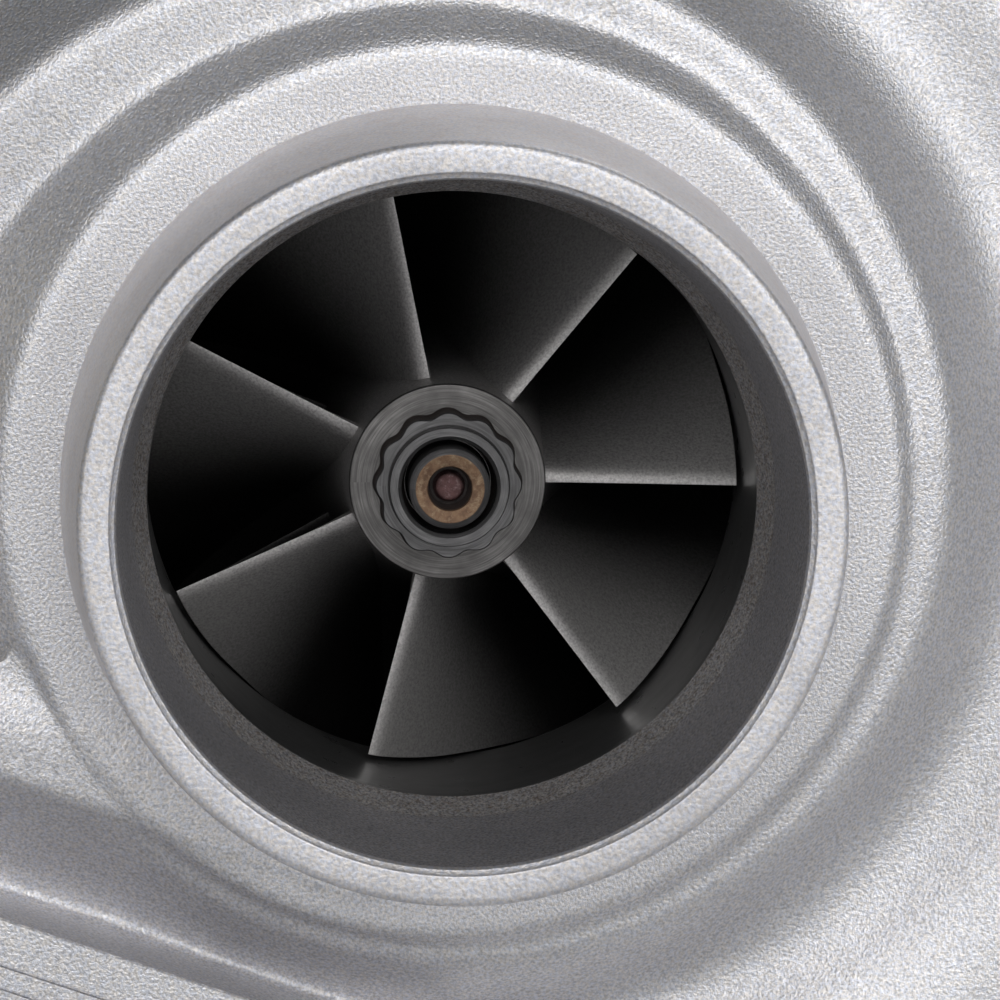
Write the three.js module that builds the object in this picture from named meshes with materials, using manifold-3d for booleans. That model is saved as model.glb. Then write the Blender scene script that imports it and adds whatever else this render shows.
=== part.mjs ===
// Turbocharger for a mid-size car engine: an aluminium compressor housing with a clockwise scroll, a
// water-cooled bearing housing, a cast-iron turbine housing with a wastegate inside, and a pneumatic actuator.
// Millimetres, +Z up. Every function works in shaft coordinates: the shaft turns about Y, the compressor
// inlet faces -Y, the turbine outlet faces +Y, and +X is to the right of someone looking into the inlet.
import * as THREE from "three";
import { mergeVertices } from "three/addons/utils/BufferGeometryUtils.js";
import Module from "manifold-3d";

const wasm = await Module();
wasm.setup();

// ---------- Driving dimensions ----------
const GAP = 0.3; // between touching pieces
const ROUND = 24; // facets of a large turned surface, and sections round a scroll
const FINE_ROUND = 20; // facets of a small turned piece
const SMALL_ROUND = 12; // facets of a pin, bolt or bore

// Where the shaft axis stands in the part's frame: the turbine foot's face is z = 0.
const SHAFT_HEIGHT = 92;
const SHAFT_X = 22.5;
const SHAFT_Y = -16;

// Compressor housing.
const INLET = { rim: -82, base: -63.5, rimOuter: 28.2, baseOuter: 29.5, rimInner: 25.9, throat: 23.2 };
const PLATEAU_EDGE = 34.3; // outer radius of the flat face round the inlet boss
const DIFFUSER = { inner: 30.6, outer: 44.8, front: -30.8, back: -26 };
const TONGUE = 200; // degrees, where the scroll starts; it grows clockwise from here
const OUTLET_SWEEP = 309; // degrees clockwise from the tongue, where the outlet duct leaves
const SCROLL = { small: 6.5, large: 17.5, nearAxis: 52, farAxis: 60, wall: 3.5 };
const OUTLET = { length: 78, bead: 1.6, nipple: 58 };
const PAD = { near: 41.5, far: 64, start: -14, end: 40, face: -66, foot: -48, stepUp: 0.5, stepWide: 2.8 };
const REAR_FLANGE = { outer: 57.5, inner: 47.6, spigot: 45.6, face: -16, seat: -22, front: -22.5 };
const CLAMP_BOLTS = { circle: 52.3, count: 6, first: 15, shank: 3, hole: 3.3, depth: 7 };
const CLAMP_PLATE = { inner: 42.6, outer: 56.6, thick: 3, halfAngle: 42 };
const BRACKET_BOSSES = [[-57, 30], [-63.5, 6]]; // x and z
const BRACKET_BOSS = { radius: 6.5, front: -34, hole: 3.3, depth: 13 };
// The terrace between the plateau and the scroll, as [degrees past the tongue, radius] at its two edges.
const TERRACE_INNER = [[0, 43], [65, 38.6], [140, 37], [200, 35.5], [290, 34.9], [360, 34.9]];
const TERRACE_OUTER = [[0, 51], [65, 45], [140, 40.4], [200, 37.9], [290, 36], [345, 36], [360, 46]];

// Compressor wheel: the blades' hub and shroud lines are [radius, y] from leading to trailing edge.
const WHEEL = { nose: 7.5, noseFace: -56, back: -26.4, hubBack: -24.6, rim: 29.98 };
const BLADES = { count: 7, first: -2.2, rootThick: 1.5, tipThick: 0.7 };
const HUB_LINE = [[7.6, -51.5], [8.8, -43.5], [13, -35.5], [20.5, -29.2], [30, -27.3]];
const SHROUD_LINE = [[22.8, -51.5], [22.9, -44.5], [24.4, -37.6], [27, -32.6], [30, -30]];
const WRAP = [0, 22, 39, 50, 60]; // degrees that the blade trails at each station
const CONTOUR_GAP = 0.55; // between the blades and the housing's bore over them
const NUT = { points: 5.77, height: 2.2, collar: 4.6, collarTip: 4.45, collarHeight: 0.9 };

// Rotor and bearings.
const STUB = 3; // radius of the shaft under the compressor wheel
const JOURNAL = 4.5;
const SEAL_BOSS = 8.2;
const SHAFT_ENDS = { front: -60.4, shoulder: -10.2, seal: 22, weld: 33.2 };
const RING_GROOVE = { radius: 6.6, front: 25.8, rear: 27.8 };
const BEARING_BORE = 8;
const JOURNAL_BEARINGS = [[-8, 1], [11, 20]]; // y from and to
const DRAIN = { y: 6, radius: 8.5, face: -46, boltX: 17, boltHole: 3.4 };
// A boss from root to face on each side of the bearing housing, with a plug from `inner` to `seat` to `top`.
const WATER_PORTS = {
  right: {
    root: [24, 6, 12],
    face: [43, 6, 21],
    bore: [32, 6, 15.8],
    mouth: [44, 6, 21.5],
    inner: [34, 6, 16.8],
    seat: [43.3, 6, 21.15],
    top: [48, 6, 23.4],
  },
  left: {
    root: [-24, 6, -8],
    face: [-43, 6, -16],
    bore: [-32, 6, -11.4],
    mouth: [-44, 6, -16.4],
    inner: [-34, 6, -12.2],
    seat: [-43.3, 6, -16.2],
    top: [-48, 6, -18.2],
  },
};
const WATER_BOSS = { radius: 10.5, bore: 6.3, plug: 6, hexagon: 8.7 };
const OIL_INLET = { y: 6, bore: 4.3, seat: 42, stem: 4, hexagon: 8.1, thread: 5, passage: 2, top: 57.5 };

// Turbine: the blades' hub and tip lines are [radius, y] from leading to trailing edge.
const TURBINE = { back: 35.5, nose: 66, blades: 11, rootThick: 1.76, tipThick: 1.1 };
const TURBINE_HUB = [[24.6, 36.6], [15, 39], [9.8, 46], [7.8, 54], [7.2, 62]];
const TURBINE_TIP = [[26, 46.3], [24.6, 48.4], [23, 53], [22.6, 57.5], [22.6, 62]];
const TURBINE_TRAIL = [0, 1, 8, 20, 38]; // degrees
const VOLUTE = { large: 14.5, small: 4.5, inner: 32.5, wall: 4.5, largeY: 54, smallY: 45, end: 325 };
const TURBINE_FLANGE = { outer: 40, face: 30.2 };
const VBAND = { inner: 36.6, outer: 43, front: 23.4, rear: 34.4, y: 28.8, boltZ: 52, ears: [5, 11] };
const FOOT = { x: -30, y: 54, width: 98, depth: 76, thick: 12, boltX: 37, boltY: 27, bolt: 5.3 };
const DUCT = { x: -47, towardsFoot: 17, wider: 9, deeper: 2 };
const CAVITY = { floor: 72, end: 104, flange: 114, main: 27, side: 30, sideX: -34, sideZ: 28, wall: 4.5 };
const OUTLET_BOLTS = [[32, 12], [10, -33.5], [-49, -8], [-69.5, 36], [-22, 62.5]]; // x and z
const OUTLET_BOLT = { boss: 9, hole: 4.2 };

// Wastegate and actuator.
const PORT = { x: -36, z: 22, radius: 9, valve: 12.5, stem: 3 };
const SPINDLE = { y: 81, z: 46, radius: 4, outer: -89.6, inner: -29 };
const BUSH = { radius: 7, inner: -58, outer: -77.5, boss: 11, bossFace: -76 };
const LEVER = { length: 22, lean: 15, x: -87.6, thick: 3.5, hub: 9, eye: 7 };
const PIN = { radius: 3, outerX: -97, innerX: -85.7, slack: 0.8 };
const ROD = { x: -92, radius: 3 };
const ACTUATOR = { front: -67, rim: -49, rear: -17.8, radius: 23, rimRadius: 26, wall: 1.6, portY: -57.5 };
const STUD = { acrossX: 6.5, acrossZ: 11.31, radius: 2.5, length: 11 };
const DIAPHRAGM_CROWN = -61;
const SPRING = { turns: 4.5, coil: 11.5, wire: 1.2, endGap: 3.2 };
const BRACKET = [
  [-54.5, 38], [-72, 44], [-96, 44.5], [-108, 36], [-111, 22], [-103, 6],
  [-92, 3], [-68, -2], [-60.5, -1], [-59.4, 12], [-55.8, 20],
]; // x and z
const BRACKET_THICK = 3;
const M6 = { shank: 3, corner: 5.8, head: 4.2 }; // bolts with 10 mm heads
const NIPPLE = { bore: 1.3, shank: 3, collar: 4.6, stub: 2.3, bead: 2.9 };

const rad = THREE.MathUtils.degToRad;
const leverPin = {
  y: SPINDLE.y - LEVER.length * Math.sin(rad(LEVER.lean)),
  z: SPINDLE.z - LEVER.length * Math.cos(rad(LEVER.lean)),
};
const pinRise = LEVER.length * (1 - Math.cos(rad(LEVER.lean)));
ROD.z = leverPin.z - pinRise / 2; // the middle of the pin's small arc

// ---------- Solids ----------
// A geometry as a manifold solid, turned right side out if its faces point inwards.
function solid(geometry) {
  const plain = geometry.clone();
  plain.deleteAttribute("normal");
  plain.deleteAttribute("uv");
  const merged = mergeVertices(plain, 1e-3);
  const vertProperties = merged.attributes.position.array;
  const build = (triVerts) => new wasm.Manifold(new wasm.Mesh({ numProp: 3, vertProperties, triVerts }));
  const indices = new Uint32Array(merged.index.array);
  const made = build(indices);
  return made.volume() > 0 ? made : build(indices.reverse());
}

function geometryOf(manifold) {
  const mesh = manifold.getMesh();
  const geometry = new THREE.BufferGeometry();
  geometry.setAttribute("position", new THREE.BufferAttribute(mesh.vertProperties, 3));
  geometry.setIndex(new THREE.BufferAttribute(mesh.triVerts, 1));
  geometry.computeVertexNormals();
  return geometry;
}

const join = (...parts) => parts.reduce((a, b) => a.add(b));
const cut = (body, ...tools) => tools.reduce((a, b) => a.subtract(b), body);

// A solid turned about the shaft, or about a line parallel to it, from [radius, y] points.
function turned(profile, facets = ROUND, x = 0, z = 0) {
  const closes = profile[0][0] > 0 || profile.at(-1)[0] > 0;
  const points = (closes ? [...profile, profile[0]] : profile).map(([r, y]) => new THREE.Vector2(r, y));
  return solid(new THREE.LatheGeometry(points, facets).translate(x, 0, z));
}

// A solid turned about the line from one point towards another, from [radius, distance along it] points.
function turnedAlong(from, towards, profile, facets = SMALL_ROUND) {
  const start = new THREE.Vector3(...from);
  const heading = new THREE.Vector3(...towards).sub(start).normalize();
  const points = [...profile, profile[0]].map(([r, d]) => new THREE.Vector2(r, d));
  const geometry = new THREE.LatheGeometry(points, facets);
  geometry.applyQuaternion(new THREE.Quaternion().setFromUnitVectors(new THREE.Vector3(0, 1, 0), heading));
  return solid(geometry.translate(start.x, start.y, start.z));
}

// A cylinder, prism or cone between two points.
function bar(from, to, radius, facets = SMALL_ROUND, endRadius = radius) {
  const a = new THREE.Vector3(...from);
  const b = new THREE.Vector3(...to);
  const length = a.distanceTo(b);
  const geometry = new THREE.CylinderGeometry(endRadius, radius, length, facets);
  geometry.translate(0, length / 2, 0);
  geometry.applyQuaternion(
    new THREE.Quaternion().setFromUnitVectors(new THREE.Vector3(0, 1, 0), b.clone().sub(a).normalize()),
  );
  return solid(geometry.translate(a.x, a.y, a.z));
}

const block = (low, high) =>
  solid(
    new THREE.BoxGeometry(high[0] - low[0], high[1] - low[1], high[2] - low[2]).translate(
      (low[0] + high[0]) / 2,
      (low[1] + high[1]) / 2,
      (low[2] + high[2]) / 2,
    ),
  );

// A plate whose outline is drawn in X and Z, from y = low to y = high.
function plateAcross(shape, low, high, curveSegments = 10) {
  const options = { depth: high - low, bevelEnabled: false, curveSegments };
  const geometry = new THREE.ExtrudeGeometry(shape, options);
  return solid(geometry.rotateX(Math.PI / 2).translate(0, high, 0));
}

// A plate whose outline is drawn in Y and Z, from x = low to x = high.
function plateAlong(shape, low, high, curveSegments = 10) {
  const options = { depth: high - low, bevelEnabled: false, curveSegments };
  const geometry = new THREE.ExtrudeGeometry(shape, options);
  const turn = new THREE.Matrix4().makeBasis(
    new THREE.Vector3(0, 1, 0),
    new THREE.Vector3(0, 0, 1),
    new THREE.Vector3(1, 0, 0),
  );
  return solid(geometry.applyMatrix4(turn).translate(low, 0, 0));
}

// The outline round two circles [x, y, radius], as a shape.
function roundedLink([ax, ay, ar], [bx, by, br]) {
  const distance = Math.hypot(bx - ax, by - ay);
  const heading = Math.atan2(by - ay, bx - ax);
  const spread = Math.acos((ar - br) / distance);
  const shape = new THREE.Shape();
  shape.absarc(ax, ay, ar, heading + spread, heading - spread + 2 * Math.PI, false);
  shape.absarc(bx, by, br, heading - spread, heading + spread, false);
  return shape;
}

// A closed skin over rings of points. Rings that meet end to start make a torus; others get flat ends.
function skin(rings, meetsItself) {
  const count = rings[0].length;
  const vertices = rings.flat();
  const indices = [];
  const last = meetsItself ? rings.length : rings.length - 1;
  for (let i = 0; i < last; i++) {
    for (let j = 0; j < count; j++) {
      const a = i * count + j;
      const b = i * count + ((j + 1) % count);
      const c = ((i + 1) % rings.length) * count + j;
      const d = ((i + 1) % rings.length) * count + ((j + 1) % count);
      indices.push(a, b, c, b, d, c);
    }
  }
  if (!meetsItself) {
    for (const [ring, flip] of [[0, true], [rings.length - 1, false]]) {
      const centre = new THREE.Vector3();
      rings[ring].forEach((p) => centre.add(p));
      vertices.push(centre.divideScalar(count));
      for (let j = 0; j < count; j++) {
        const a = ring * count + j;
        const b = ring * count + ((j + 1) % count);
        indices.push(...(flip ? [b, a, vertices.length - 1] : [a, b, vertices.length - 1]));
      }
    }
  }
  const geometry = new THREE.BufferGeometry();
  const numbers = vertices.flatMap((p) => p.toArray());
  geometry.setAttribute("position", new THREE.Float32BufferAttribute(numbers, 3));
  geometry.setIndex(indices);
  return solid(geometry);
}

// The skin of a body whose [radius, y] section changes with the angle round the shaft.
function sweptSection(sectionAt, steps) {
  const rings = [];
  for (let i = 0; i < steps; i++) {
    const angle = (360 * i) / steps;
    const c = Math.cos(rad(angle));
    const s = Math.sin(rad(angle));
    rings.push(sectionAt(angle).map(([r, y]) => new THREE.Vector3(r * c, y, r * s)));
  }
  return skin(rings, true);
}

// Points [radius, y] on a circle of a section, between two angles: 0 is towards the shaft, 90 towards -Y.
function arc(centreRadius, centreY, radius, from, to, steps) {
  return Array.from({ length: steps + 1 }, (_, i) => {
    const angle = rad(from + ((to - from) * i) / steps);
    return [centreRadius - radius * Math.cos(angle), centreY - radius * Math.sin(angle)];
  });
}

// A value read from [position, value] pairs, on straight lines between them.
function between(pairs, at) {
  const next = pairs.findIndex(([p]) => p >= at);
  if (next <= 0) return next === 0 ? pairs[0][1] : pairs.at(-1)[1];
  const [[p0, v0], [p1, v1]] = [pairs[next - 1], pairs[next]];
  return v0 + ((v1 - v0) * (at - p0)) / (p1 - p0);
}

// The housing's bore over the blades, clear of them all along.
const shroudContour = SHROUD_LINE.slice(1, -1).map(([r, y], i) => {
  const [nextR, nextY] = SHROUD_LINE[i + 2];
  const length = Math.hypot(nextR - r, nextY - y);
  return [r + (CONTOUR_GAP * (nextY - y)) / length, y - (CONTOUR_GAP * (nextR - r)) / length];
});

// ---------- Compressor housing ----------
const clockwise = (angle) => (((TONGUE - angle) % 360) + 360) % 360;

// The scroll's passage at an angle: it grows up to the outlet, then closes down to the tongue.
function scrollAt(angle) {
  const sweep = clockwise(angle);
  const share = sweep <= OUTLET_SWEEP ? sweep / OUTLET_SWEEP : (360 - sweep) / (360 - OUTLET_SWEEP);
  const inner = SCROLL.small + (SCROLL.large - SCROLL.small) * share;
  const axis = SCROLL.nearAxis + (SCROLL.farAxis - SCROLL.nearAxis) * share;
  return { axis, inner, outer: inner + SCROLL.wall, y: DIFFUSER.back - inner };
}

// The scroll's outside, the inlet boss, and between them the terrace, which narrows as the scroll grows.
function compressorSection(angle) {
  const scroll = scrollAt(angle);
  const inner = between(TERRACE_INNER, clockwise(angle));
  const outer = between(TERRACE_OUTER, clockwise(angle));
  const level = INLET.base + (inner - PLATEAU_EDGE);
  const front = (180 / Math.PI) * Math.acos(Math.min(0.94, (scroll.axis - outer - 1.5) / scroll.outer));
  const rearRadius = Math.max(REAR_FLANGE.outer, scroll.axis);
  const rear = 360 - (180 / Math.PI) * Math.acos((scroll.axis - rearRadius) / scroll.outer);
  return [
    [15, INLET.rim],
    [INLET.rimOuter, INLET.rim],
    [INLET.baseOuter, INLET.base],
    [PLATEAU_EDGE, INLET.base],
    [inner, level],
    [outer, level],
    ...arc(scroll.axis, scroll.y, scroll.outer, Math.max(front, 20), rear, 8),
    [REAR_FLANGE.outer, REAR_FLANGE.front + 0.5],
    [REAR_FLANGE.outer, REAR_FLANGE.face],
    [15, REAR_FLANGE.face],
  ];
}

const outletFrame = (() => {
  const angle = rad(TONGUE - OUTLET_SWEEP);
  const out = new THREE.Vector3(Math.cos(angle), 0, Math.sin(angle)); // away from the shaft
  const along = new THREE.Vector3(Math.sin(angle), 0, -Math.cos(angle)); // the way the air leaves
  return { out, along, y: DIFFUSER.back - SCROLL.large };
})();

// A point near the outlet: so far along the duct, so far from the shaft's axis, at that y.
const nearOutlet = (along, out, y) =>
  outletFrame.along.clone().multiplyScalar(along).addScaledVector(outletFrame.out, out).setY(y).toArray();

function outletDuct(radius, from, to) {
  return bar(
    nearOutlet(from, SCROLL.farAxis, outletFrame.y),
    nearOutlet(to, SCROLL.farAxis, outletFrame.y),
    radius,
    24,
  );
}

// A straight-sided block in the outlet's directions.
function outletBlock(along, out, y) {
  const corners = [[along[0], out[0]], [along[1], out[0]], [along[1], out[1]], [along[0], out[1]]];
  const ringAt = (level) => corners.map(([a, o]) => new THREE.Vector3(...nearOutlet(a, o, level)));
  return skin([ringAt(y[0]), ringAt(y[1])], false);
}

const clampBoltPlaces = Array.from({ length: CLAMP_BOLTS.count }, (_, i) => {
  const angle = rad(CLAMP_BOLTS.first + (360 * i) / CLAMP_BOLTS.count);
  return [CLAMP_BOLTS.circle * Math.cos(angle), CLAMP_BOLTS.circle * Math.sin(angle)];
});
const DUCT_WALL = SCROLL.farAxis - SCROLL.large - SCROLL.wall; // the duct's near side, from the shaft
const nippleAt = (out) => nearOutlet(OUTLET.nipple, out, outletFrame.y);

function compressorHousing() {
  const outer = join(
    sweptSection(compressorSection, ROUND),
    outletDuct(SCROLL.large + SCROLL.wall, -4, OUTLET.length),
    outletDuct(SCROLL.large + SCROLL.wall + OUTLET.bead, OUTLET.length - 6, OUTLET.length - 2),
    outletBlock([PAD.start, PAD.end], [PAD.near, PAD.far], [PAD.face, PAD.foot]),
    ...BRACKET_BOSSES.map(([x, z]) =>
      bar([x, BRACKET_BOSS.front, z], [x, ACTUATOR.rear, z], BRACKET_BOSS.radius),
    ),
  );
  const gasCore = turned([
    [0, INLET.rim - 1],
    [INLET.rimInner + 0.15, INLET.rim - 1],
    [INLET.rimInner, INLET.rim],
    [INLET.throat, INLET.base],
    ...shroudContour,
    [DIFFUSER.inner, DIFFUSER.front],
    [DIFFUSER.outer + 1.4, DIFFUSER.front],
    [DIFFUSER.outer + 1.4, DIFFUSER.back],
    [REAR_FLANGE.spigot, DIFFUSER.back],
    [REAR_FLANGE.spigot, REAR_FLANGE.seat],
    [REAR_FLANGE.inner, REAR_FLANGE.seat],
    [REAR_FLANGE.inner, REAR_FLANGE.face + 1],
    [0, REAR_FLANGE.face + 1],
  ]);
  const passage = sweptSection((angle) => {
    const scroll = scrollAt(angle);
    return [
      [DIFFUSER.outer, DIFFUSER.back],
      ...arc(scroll.axis, scroll.y, scroll.inner, 270, -6, 6),
      [DIFFUSER.outer, DIFFUSER.front - 1.2],
    ];
  }, ROUND);
  const padStep = outletBlock(
    [PAD.start - 1, PAD.end + 1],
    [PAD.near - 1, PAD.near + PAD.stepWide],
    [PAD.face - 1, PAD.face + PAD.stepUp],
  );
  return cut(
    outer,
    gasCore,
    passage,
    outletDuct(SCROLL.large - 0.2, -2, OUTLET.length + 1),
    ...clampBoltPlaces.map(([x, z]) =>
      bar([x, REAR_FLANGE.face - CLAMP_BOLTS.depth, z], [x, REAR_FLANGE.face + 1, z], CLAMP_BOLTS.hole),
    ),
    ...BRACKET_BOSSES.map(([x, z]) =>
      bar([x, ACTUATOR.rear - BRACKET_BOSS.depth, z], [x, ACTUATOR.rear + 1, z], BRACKET_BOSS.hole),
    ),
    bar(nippleAt(DUCT_WALL + 5), nippleAt(DUCT_WALL - 5), NIPPLE.shank + GAP),
    padStep,
  );
}

// ---------- Compressor wheel ----------
// A blade from its first station on: a thicker root sunk in the hub, and a thinner tip.
function blade(first, station0) {
  const rings = [];
  for (let i = station0; i < HUB_LINE.length; i++) {
    const [hr, hy] = HUB_LINE[i];
    const [sr, sy] = SHROUD_LINE[i];
    const root = [i === HUB_LINE.length - 1 ? hr : hr - 1.2, hy + 0.7];
    const angle = rad(first + WRAP[i]);
    const place = ([r, y], off) => {
      const turn = angle + off / r;
      return new THREE.Vector3(r * Math.cos(turn), y, r * Math.sin(turn));
    };
    const [thick, thin] = [BLADES.rootThick / 2, BLADES.tipThick / 2];
    const tip = [sr, sy];
    rings.push([place(root, -thick), place(tip, -thin), place(tip, thin), place(root, thick)]);
  }
  return skin(rings, false);
}

function compressorWheel() {
  const hub = turned([
    [STUB + GAP, WHEEL.noseFace],
    [WHEEL.nose, WHEEL.noseFace],
    ...HUB_LINE.slice(0, -1),
    [WHEEL.rim, HUB_LINE.at(-1)[1]],
    [WHEEL.rim, WHEEL.back],
    [12, WHEEL.hubBack],
    [STUB + GAP, WHEEL.hubBack],
  ], 4 * BLADES.count);
  const pitch = 360 / BLADES.count;
  const blades = Array.from({ length: BLADES.count }, (_, i) => [
    blade(BLADES.first + pitch * i, 0),
    blade(BLADES.first + pitch * (i + 0.5), 1), // a splitter, which starts further in
  ]).flat();
  const bore = bar([0, -70, 0], [0, -20, 0], STUB + GAP);
  return cut(join(hub, ...blades), bore);
}

// The nut's outline: twelve points, from two hexagons a half step apart.
function compressorNut() {
  const [base, top] = [WHEEL.noseFace - GAP, WHEEL.noseFace - GAP - NUT.height];
  const hexagon = (turn) => bar([0, base, 0], [0, top, 0], NUT.points, 6).rotate([0, turn, 0]);
  const collarFace = top - NUT.collarHeight;
  const collar = bar([0, top + 0.5, 0], [0, collarFace, 0], NUT.collar, FINE_ROUND, NUT.collarTip);
  return cut(join(hexagon(0), hexagon(30), collar), bar([0, -70, 0], [0, -50, 0], STUB + GAP));
}

// ---------- Centre: backplate, bearing housing, bearings and seals ----------
function backplate() {
  return turned([
    [7.6, -24],
    [12, -24],
    [30.8, -25.8],
    [31, DIFFUSER.back],
    [REAR_FLANGE.spigot - GAP, DIFFUSER.back],
    [REAR_FLANGE.spigot - GAP, -25],
    [43.2, -25],
    [43.2, -23.1],
    [REAR_FLANGE.spigot - GAP, -23.1],
    [REAR_FLANGE.spigot - GAP, REAR_FLANGE.seat + GAP],
    [REAR_FLANGE.inner - GAP, REAR_FLANGE.seat + GAP],
    [REAR_FLANGE.inner - GAP, -20],
    [7.6, -20],
  ]);
}

const ring = (inner, outer, low, high, facets = ROUND) =>
  turned([[inner, low], [outer, low], [outer, high], [inner, high]], facets);

function roundRing(centreRadius, y, thick, facets = ROUND) {
  return turned(arc(centreRadius, y, thick, 0, 300, 5), facets);
}

function bearingHousing() {
  const flange = REAR_FLANGE.inner - GAP;
  const body = turned([
    [5, -19.7],
    [flange, -19.7],
    [flange, REAR_FLANGE.face],
    [34, REAR_FLANGE.face],
    [31, -9],
    [29, 0],
    [29, 14],
    [31.5, 21.5],
    [36, 24.6],
    [TURBINE_FLANGE.outer, 24.6],
    [TURBINE_FLANGE.outer, 28.7],
    [22, 28.7],
    [19, 32],
    [13, 33],
    [5, 33],
  ]);
  const solids = join(
    body,
    block([-14, -6, 20], [14, 18, OIL_INLET.seat]),
    block([-24, -7.4, DRAIN.face], [24, 21, DRAIN.face + 8]),
    bar([0, DRAIN.y, DRAIN.face], [0, DRAIN.y, -20], 15, FINE_ROUND),
    ...Object.values(WATER_PORTS).map(({ root, face }) => bar(root, face, WATER_BOSS.radius)),
  );
  const bores = join(
    turned([
      [0, -21],
      [20, -21],
      [20, -9.5],
      [BEARING_BORE, -9.5],
      [BEARING_BORE, 21.6],
      [SEAL_BOSS + 0.6, 21.6],
      [SEAL_BOSS + 0.6, 34],
      [0, 34],
    ]),
    bar([0, OIL_INLET.y, OIL_INLET.seat + 1], [0, OIL_INLET.y, 5], OIL_INLET.bore),
    bar([0, DRAIN.y, DRAIN.face - 1], [0, DRAIN.y, -5], DRAIN.radius),
    ...Object.values(WATER_PORTS).map(({ bore, mouth }) => bar(bore, mouth, WATER_BOSS.bore)),
    ...[-DRAIN.boltX, DRAIN.boltX].map((x) =>
      bar([x, DRAIN.y, DRAIN.face - 1], [x, DRAIN.y, DRAIN.face + 10], DRAIN.boltHole),
    ),
  );
  return cut(solids, bores);
}

// A segment of a ring, under two of the bolts: `middle` is the angle between them.
function clampPlate(middle) {
  const { inner, outer, thick, halfAngle } = CLAMP_PLATE;
  const low = REAR_FLANGE.face + GAP;
  const far = [-halfAngle, -halfAngle / 3, halfAngle / 3, halfAngle].map((turn) => rad(middle + turn));
  const corners = far.map((angle) => new THREE.Vector2(90 * Math.cos(angle), 90 * Math.sin(angle)));
  const wedge = plateAcross(new THREE.Shape([new THREE.Vector2(0, 0), ...corners]), low - 2, low + 6);
  const holes = clampBoltPlaces.map(([x, z]) => bar([x, -20, z], [x, -10, z], CLAMP_BOLTS.hole));
  return cut(ring(inner, outer, low, low + thick).intersect(wedge), ...holes);
}

const oilFlinger = () =>
  turned([
    [STUB + GAP, -24.3],
    [7, -24.3],
    [7, -22.7],
    [5.8, -22.7],
    [5.8, -21.1],
    [7, -21.1],
    [7, -19.5],
    [11, -19.5],
    [11, -18.3],
    [7, -18.3],
    [7, -17.5],
    [STUB + GAP, -17.5],
  ], FINE_ROUND);

const thrustCollar = () =>
  turned([
    [STUB + GAP, -17.2],
    [11, -17.2],
    [11, -15],
    [6.8, -15],
    [6.8, -11.8],
    [11, -11.8],
    [11, -10.5],
    [STUB + GAP, -10.5],
  ], FINE_ROUND);

// A ring with a slot, so that it slides over the collar's groove.
const thrustBearing = () =>
  cut(ring(7.4, 19.6, -14.6, -12.2, FINE_ROUND), block([-7.4, -16, -21], [7.4, -10, 0]));

// A split sealing ring: its gap is at the side.
const sealRing = (inner, outer, low, high) =>
  cut(ring(inner, outer, low, high, FINE_ROUND), block([0, low - 1, -0.4], [20, high + 1, 0.4]));

function rotorShaft() {
  return turned([
    [0, SHAFT_ENDS.front + 1.6],
    [1, SHAFT_ENDS.front + 1.6],
    [1.7, SHAFT_ENDS.front],
    [2.7, SHAFT_ENDS.front],
    [STUB, SHAFT_ENDS.front + 0.4],
    [STUB, SHAFT_ENDS.shoulder],
    [JOURNAL, SHAFT_ENDS.shoulder],
    [JOURNAL, SHAFT_ENDS.seal],
    [SEAL_BOSS, SHAFT_ENDS.seal],
    [SEAL_BOSS, RING_GROOVE.front],
    [RING_GROOVE.radius, RING_GROOVE.front],
    [RING_GROOVE.radius, RING_GROOVE.rear],
    [SEAL_BOSS, RING_GROOVE.rear],
    [SEAL_BOSS, SHAFT_ENDS.weld],
    [0, SHAFT_ENDS.weld],
  ], FINE_ROUND);
}

// ---------- Turbine wheel, heat shield and V-band ----------
function turbineBlade(first) {
  const station = (i) => {
    const place = ([r, y], off) => {
      const turn = rad(first + TURBINE_TRAIL[i]) + off / r;
      return new THREE.Vector3(r * Math.cos(turn), y, r * Math.sin(turn));
    };
    const [hr, hy] = TURBINE_HUB[i];
    const root = i === 0 ? [26, hy - 0.6] : [hr - 1.5, hy - (i < 2 ? 0.9 : 0)];
    const [thick, thin] = [TURBINE.rootThick / 2, TURBINE.tipThick / 2];
    const tip = TURBINE_TIP[i];
    return [place(root, -thick), place(tip, -thin), place(tip, thin), place(root, thick)];
  };
  return skin(TURBINE_HUB.map((_, i) => station(i)), false);
}

function turbineWheel() {
  const hub = turned([
    [0, SHAFT_ENDS.weld + GAP],
    [8.6, SHAFT_ENDS.weld + GAP],
    [9.6, TURBINE.back],
    [24.6, TURBINE.back],
    ...TURBINE_HUB,
    [6.4, 63.4],
    [6, TURBINE.nose - 0.6],
    [5.2, TURBINE.nose],
    [0, TURBINE.nose],
  ], 2 * TURBINE.blades);
  const pitch = 360 / TURBINE.blades;
  const blades = Array.from({ length: TURBINE.blades }, (_, i) => turbineBlade(pitch * i));
  return join(hub, ...blades);
}

const heatShield = () =>
  turned([
    [10.5, 33.4],
    [20, 33.4],
    [30.6, 29],
    [37.4, 29],
    [37.4, 29.9],
    [31, 29.9],
    [20.3, 34.3],
    [10.5, 34.3],
  ]);

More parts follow.
